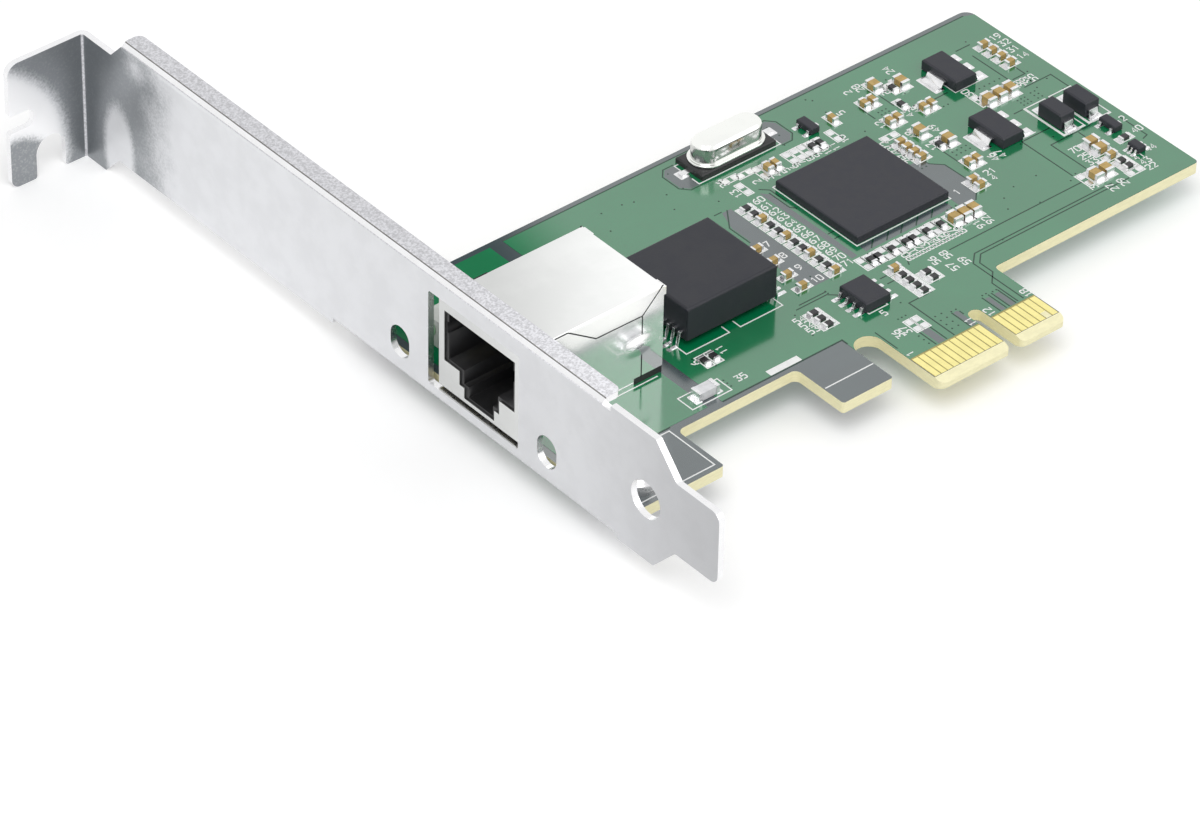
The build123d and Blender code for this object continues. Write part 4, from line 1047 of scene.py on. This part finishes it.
def empty_pads():
    """Pads and frames of the pairs that carry no part."""
    rows = np.array(EMPTY_PAIRS)
    places = rows[:, :2]
    along = np.where(rows[:, 2:] == 1, [[0.0, 1.0]], [[1.0, 0.0]])
    half = np.where(along > 0, EMPTY_ALONG, EMPTY_ACROSS)
    middles = np.concatenate([places - along * EMPTY_STEP, places + along * EMPTY_STEP])
    frame_half = half + along * EMPTY_STEP + EMPTY_FRAME_GAP
    half = np.concatenate([half, half])
    return middles - half, middles + half, places - frame_half, places + frame_half


def frame_rings(low, high, wide):
    """Square rings: each frame's four corners, out and in by half the line, at two heights."""
    signs = np.array([[-1, -1], [1, -1], [1, 1], [-1, 1]])
    middle, half = (low + high) / 2, (high - low) / 2
    outer = middle[:, None] + signs * (half[:, None] + wide / 2)
    inner = middle[:, None] + signs * (half[:, None] - wide / 2)
    points = np.stack([outer, outer, inner, inner], axis=2)
    levels = np.array([0, PRINT_HIGH, PRINT_HIGH, 0])[None, None, :, None]
    level = np.broadcast_to(levels, points.shape[:3] + (1,))
    return lofts(np.concatenate([points, level], axis=3), closed=True)


class CARD_OT_pads(bpy.types.Operator):
    """Lay the tinned pads below the parts and the printed frames round them"""
    bl_idname = "card.pads"
    bl_label = "Pads"

    def execute(self, context):
        look = context.scene.board_look
        reach = look.pad_reach / MM
        framed = [
            chip_part_pads("capacitor_ends", "ceramic_capacitors", reach),
            chip_part_pads("resistor_ends", "resistors", reach), empty_pads(),
        ]
        lows, highs, frame_lows, frame_highs = zip(*framed)
        leads = [lead_pads(*row) for row in LEAD_PADS]
        lows += tuple(low for low, _ in leads)
        highs += tuple(high for _, high in leads)
        boxes = rounded_boxes(np.concatenate(lows), np.concatenate(highs), PAD_ROUND)
        add_piece("pads", [plates(boxes, 0, PAD_HIGH)], "Tin")
        rings = frame_rings(np.concatenate(frame_lows), np.concatenate(frame_highs), look.print_wide / MM)
        add_piece("pad_frames", [rings], "Print")
        return {"FINISHED"}


# Scattered small holes: how many, the field's corners, and the start of the random draw
SCATTER, SCATTER_LOW, SCATTER_HIGH, SCATTER_START = 90, (-33, 14.5), (41.5, 53.5), 7
HOLE_RADIUS, HOLE_SIDES = 0.13, 8


class CARD_OT_traces(bpy.types.Operator):
    """Draw the dark gaps beside the traces and the small plated holes"""
    bl_idname = "card.traces"
    bl_label = "Traces"

    def execute(self, context):
        wide = context.scene.board_look.line_wide / MM
        gaps = [ribbon(line, wide, 0, GAP_HIGH) for line in GAP_LINES]
        add_piece("trace_gaps", gaps, "Trace gap")
        fields = [
            np.stack(np.meshgrid(x + pitch * np.arange(columns), y + pitch * np.arange(rows)), axis=-1)
            for x, y, columns, rows, pitch in VIA_FIELDS
        ]
        chance = np.random.default_rng(SCATTER_START)
        scatter = chance.uniform(SCATTER_LOW, SCATTER_HIGH, (SCATTER, 2))
        centres = np.concatenate([field.reshape(-1, 2) for field in fields] + [scatter])
        holes = round_plates(centres, HOLE_RADIUS, 0, HOLE_HIGH, HOLE_SIDES)
        add_piece("small_holes", [holes], "Trace gap")
        return {"FINISHED"}


def number_strokes(value, x, y, turns, high):
    """Strokes of a whole number centred on a place, turned by quarter turns."""
    digits = [int(sign) for sign in str(value)]
    middle = ((DIGIT_STEP * (len(digits) - 1) + DIGIT_WIDE) / 2, 0.5)
    turn = np.array([[0, 1], [-1, 0]]) if turns else np.eye(2)
    strokes = [np.array(DIGITS[digit]) + (DIGIT_STEP * place, 0) for place, digit in enumerate(digits)]
    return [((points - middle) * high) @ turn + (x, y) for points in strokes]


def printed_numbers():
    """Every printed number with its place and its quarter turns."""
    numbers = list(PLAIN_NUMBERS)
    for first, count, x, y, step_x, step_y, turns in NUMBER_ROWS:
        numbers += [(first + i, x + step_x * i, y + step_y * i, turns) for i in range(count)]
    return numbers


class CARD_OT_print_marks(bpy.types.Operator):
    """Print the white lines, the bar and the plain numbers"""
    bl_idname = "card.print_marks"
    bl_label = "Printed marks"

    def execute(self, context):
        look = context.scene.board_look
        wide, high = look.print_wide / MM, look.label_high / MM
        parts = [ribbon(line, wide, 0, PRINT_HIGH) for line in PRINT_LINES]
        parts += [ribbon(line, wide, 0, PRINT_HIGH, closed=True) for line in PRINT_FRAMES]
        parts.append(plates(rounded_boxes([BAR_LOW], [BAR_HIGH], BAR_ROUND), 0, PRINT_HIGH))
        for row in printed_numbers():
            parts += [ribbon(stroke, wide, 0, PRINT_HIGH) for stroke in number_strokes(*row, high)]
        add_piece("printed_marks", parts, "Print")
        return {"FINISHED"}


# Stage, in metres: the floor's middle, radius, thickness, gap below the card and glow, and the lamps
FLOOR_MIDDLE, FLOOR_RADIUS, FLOOR_THICK, FLOOR_GAP, FLOOR_SIDES = (0, 0.045), 1.6, 0.002, 0.00001, 64
FLOOR_ROUGH, FLOOR_GLOW = 0.9, 0.16
KEY_PLACE, KEY_SIZE = (-0.35, -0.25, 0.85), 0.7
FILL_PLACE, FILL_SIZE = (0.55, -0.55, 0.45), 0.6
LAMP_AIM = (0.0, 0.04, 0.0)

# Camera solved from the photo: turn vector in radians from the card's axes to its own, and place in metres
CAMERA_TURN = (2.131736353576141, -0.7709458844611426, 0.39445817638369224)
CAMERA_PLACE = (-0.46006785, -0.45615468, 0.49599266)
SENSOR_WIDE = 36


class CARD_OT_stage(bpy.types.Operator):
    """Set the floor, the soft lamps, the pale surroundings and the camera"""
    bl_idname = "card.stage"
    bl_label = "Stage"

    def execute(self, context):
        look = context.scene.stage_look
        context.scene.view_settings.view_transform = "Standard"
        build_floor(look.floor)
        build_world(look.ambient)
        add_lamp("Key lamp", KEY_PLACE, look.key, KEY_SIZE)
        add_lamp("Fill lamp", FILL_PLACE, look.fill, FILL_SIZE)
        build_camera(look.lens)
        return {"FINISHED"}


def seen_rays(tree):
    """The ray kinds of a material or world, and 1 for camera rays and mirrored ones."""
    rays = add(tree, "LightPath")
    return rays, maths(tree, "MAXIMUM", rays["Is Camera Ray"], rays["Is Glossy Ray"])


def build_world(ambient):
    """Even pale surroundings: white where seen or mirrored, a plain level where they light the card."""
    world = bpy.data.worlds.new("Surroundings")
    bpy.context.scene.world = world
    world.use_nodes = True
    tree = world.node_tree
    background = tree.nodes["Background"].inputs
    background["Color"].default_value = (1, 1, 1, 1)
    rays, seen = seen_rays(tree)
    seen = maths(tree, "MAXIMUM", seen, rays["Is Transmission Ray"])
    plug(tree, background["Strength"], mix(tree, "FLOAT", seen, ambient, 1.0))


def build_floor(tone):
    """Round pale floor under the card's lowest edge, a little brighter where it is seen."""
    top = cad_box[0][2] - FLOOR_GAP
    disc = round_plates([FLOOR_MIDDLE], FLOOR_RADIUS, top - FLOOR_THICK, top, FLOOR_SIDES)
    mesh = new_mesh("Floor", *disc)
    floor = new_object("Floor", mesh)
    bpy.data.materials.new("Floor").use_nodes = True
    tree, shader, _ = open_finish("Floor")
    shader["Base Color"].default_value = shade(tone, 1)
    shader["Roughness"].default_value = FLOOR_ROUGH
    shader["Emission Color"].default_value = (1, 1, 1, 1)
    _, seen = seen_rays(tree)
    plug(tree, shader["Emission Strength"], maths(tree, "MULTIPLY", seen, FLOOR_GLOW))
    mesh.materials.append(finish_of("Floor"))


def add_lamp(name, place, power, size):
    """Square area lamp that faces the card."""
    light = bpy.data.lights.new(name, "AREA")
    light.energy = power
    light.size = size
    aim = np.array(LAMP_AIM) - np.array(place)
    forward = aim / np.linalg.norm(aim)
    right = np.cross(forward, (0, 0, 1))
    right /= np.linalg.norm(right)
    axes = np.stack([right, np.cross(right, forward), -forward], axis=1)
    new_object(name, light).matrix_world = Matrix.Translation(place) @ Matrix(axes.tolist()).to_4x4()


def build_camera(lens):
    """Camera at the solved place; its axes are the rows of the rotation by the solved turn vector."""
    camera = bpy.data.cameras.new("Camera")
    camera.lens = lens
    camera.sensor_width = SENSOR_WIDE
    camera.clip_start = 0.05
    camera.clip_end = 20
    turn = np.array(CAMERA_TURN)
    angle = np.linalg.norm(turn)
    x, y, z = turn / angle
    cross = np.array([[0, -z, y], [z, 0, -x], [-y, x, 0]])
    rows = np.eye(3) + math.sin(angle) * cross + (1 - math.cos(angle)) * cross @ cross
    axes = np.stack([rows[0], -rows[1], -rows[2]], axis=1)
    eye = new_object("Camera", camera)
    eye.matrix_world = Matrix.Translation(CAMERA_PLACE) @ Matrix(axes.tolist()).to_4x4()
    bpy.context.scene.camera = eye


class CARD_PT_panel(bpy.types.Panel):
    """Panel that lists the card's pieces and its sizes and colours"""
    bl_idname = "CARD_PT_panel"
    bl_label = "Network card"
    bl_space_type = "VIEW_3D"
    bl_region_type = "UI"
    bl_category = "Network card"

    def draw(self, context):
        for operator in OPERATORS:
            self.layout.operator(operator.bl_idname)
        for group, _ in LOOKS:
            look = getattr(context.scene, group)
            column = self.layout.box()
            for key in look.bl_rna.properties.keys():
                if key not in ("rna_type", "name"):
                    column.prop(look, key)


OPERATORS = (
    CARD_OT_finishes, CARD_OT_bracket, CARD_OT_screws, CARD_OT_board, CARD_OT_fingers, CARD_OT_jack,
    CARD_OT_magnetics, CARD_OT_chips, CARD_OT_crystal, CARD_OT_chip_parts, CARD_OT_pads, CARD_OT_traces,
    CARD_OT_print_marks, CARD_OT_stage,
)
LOOKS = (
    ("board_look", BoardLook), ("metal_look", MetalLook), ("part_look", PartLook), ("stage_look", StageLook),
)


def register():
    for name, group in LOOKS:
        bpy.utils.register_class(group)
        setattr(bpy.types.Scene, name, bpy.props.PointerProperty(type=group))
    for made in OPERATORS + (CARD_PT_panel,):
        bpy.utils.register_class(made)


def unregister():
    for made in reversed(OPERATORS + (CARD_PT_panel,)):
        bpy.utils.unregister_class(made)
    for name, group in reversed(LOOKS):
        delattr(bpy.types.Scene, name)
        bpy.utils.unregister_class(group)


def main():
    register()
    bpy.ops.card.finishes()
    bpy.ops.card.bracket()
    bpy.ops.card.screws()
    bpy.ops.card.board()
    bpy.ops.card.fingers()
    bpy.ops.card.jack()
    bpy.ops.card.magnetics()
    bpy.ops.card.chips()
    bpy.ops.card.crystal()
    bpy.ops.card.chip_parts()
    bpy.ops.card.pads()
    bpy.ops.card.traces()
    bpy.ops.card.print_marks()
    bpy.ops.card.stage()


if __name__ == "__main__":
    main()
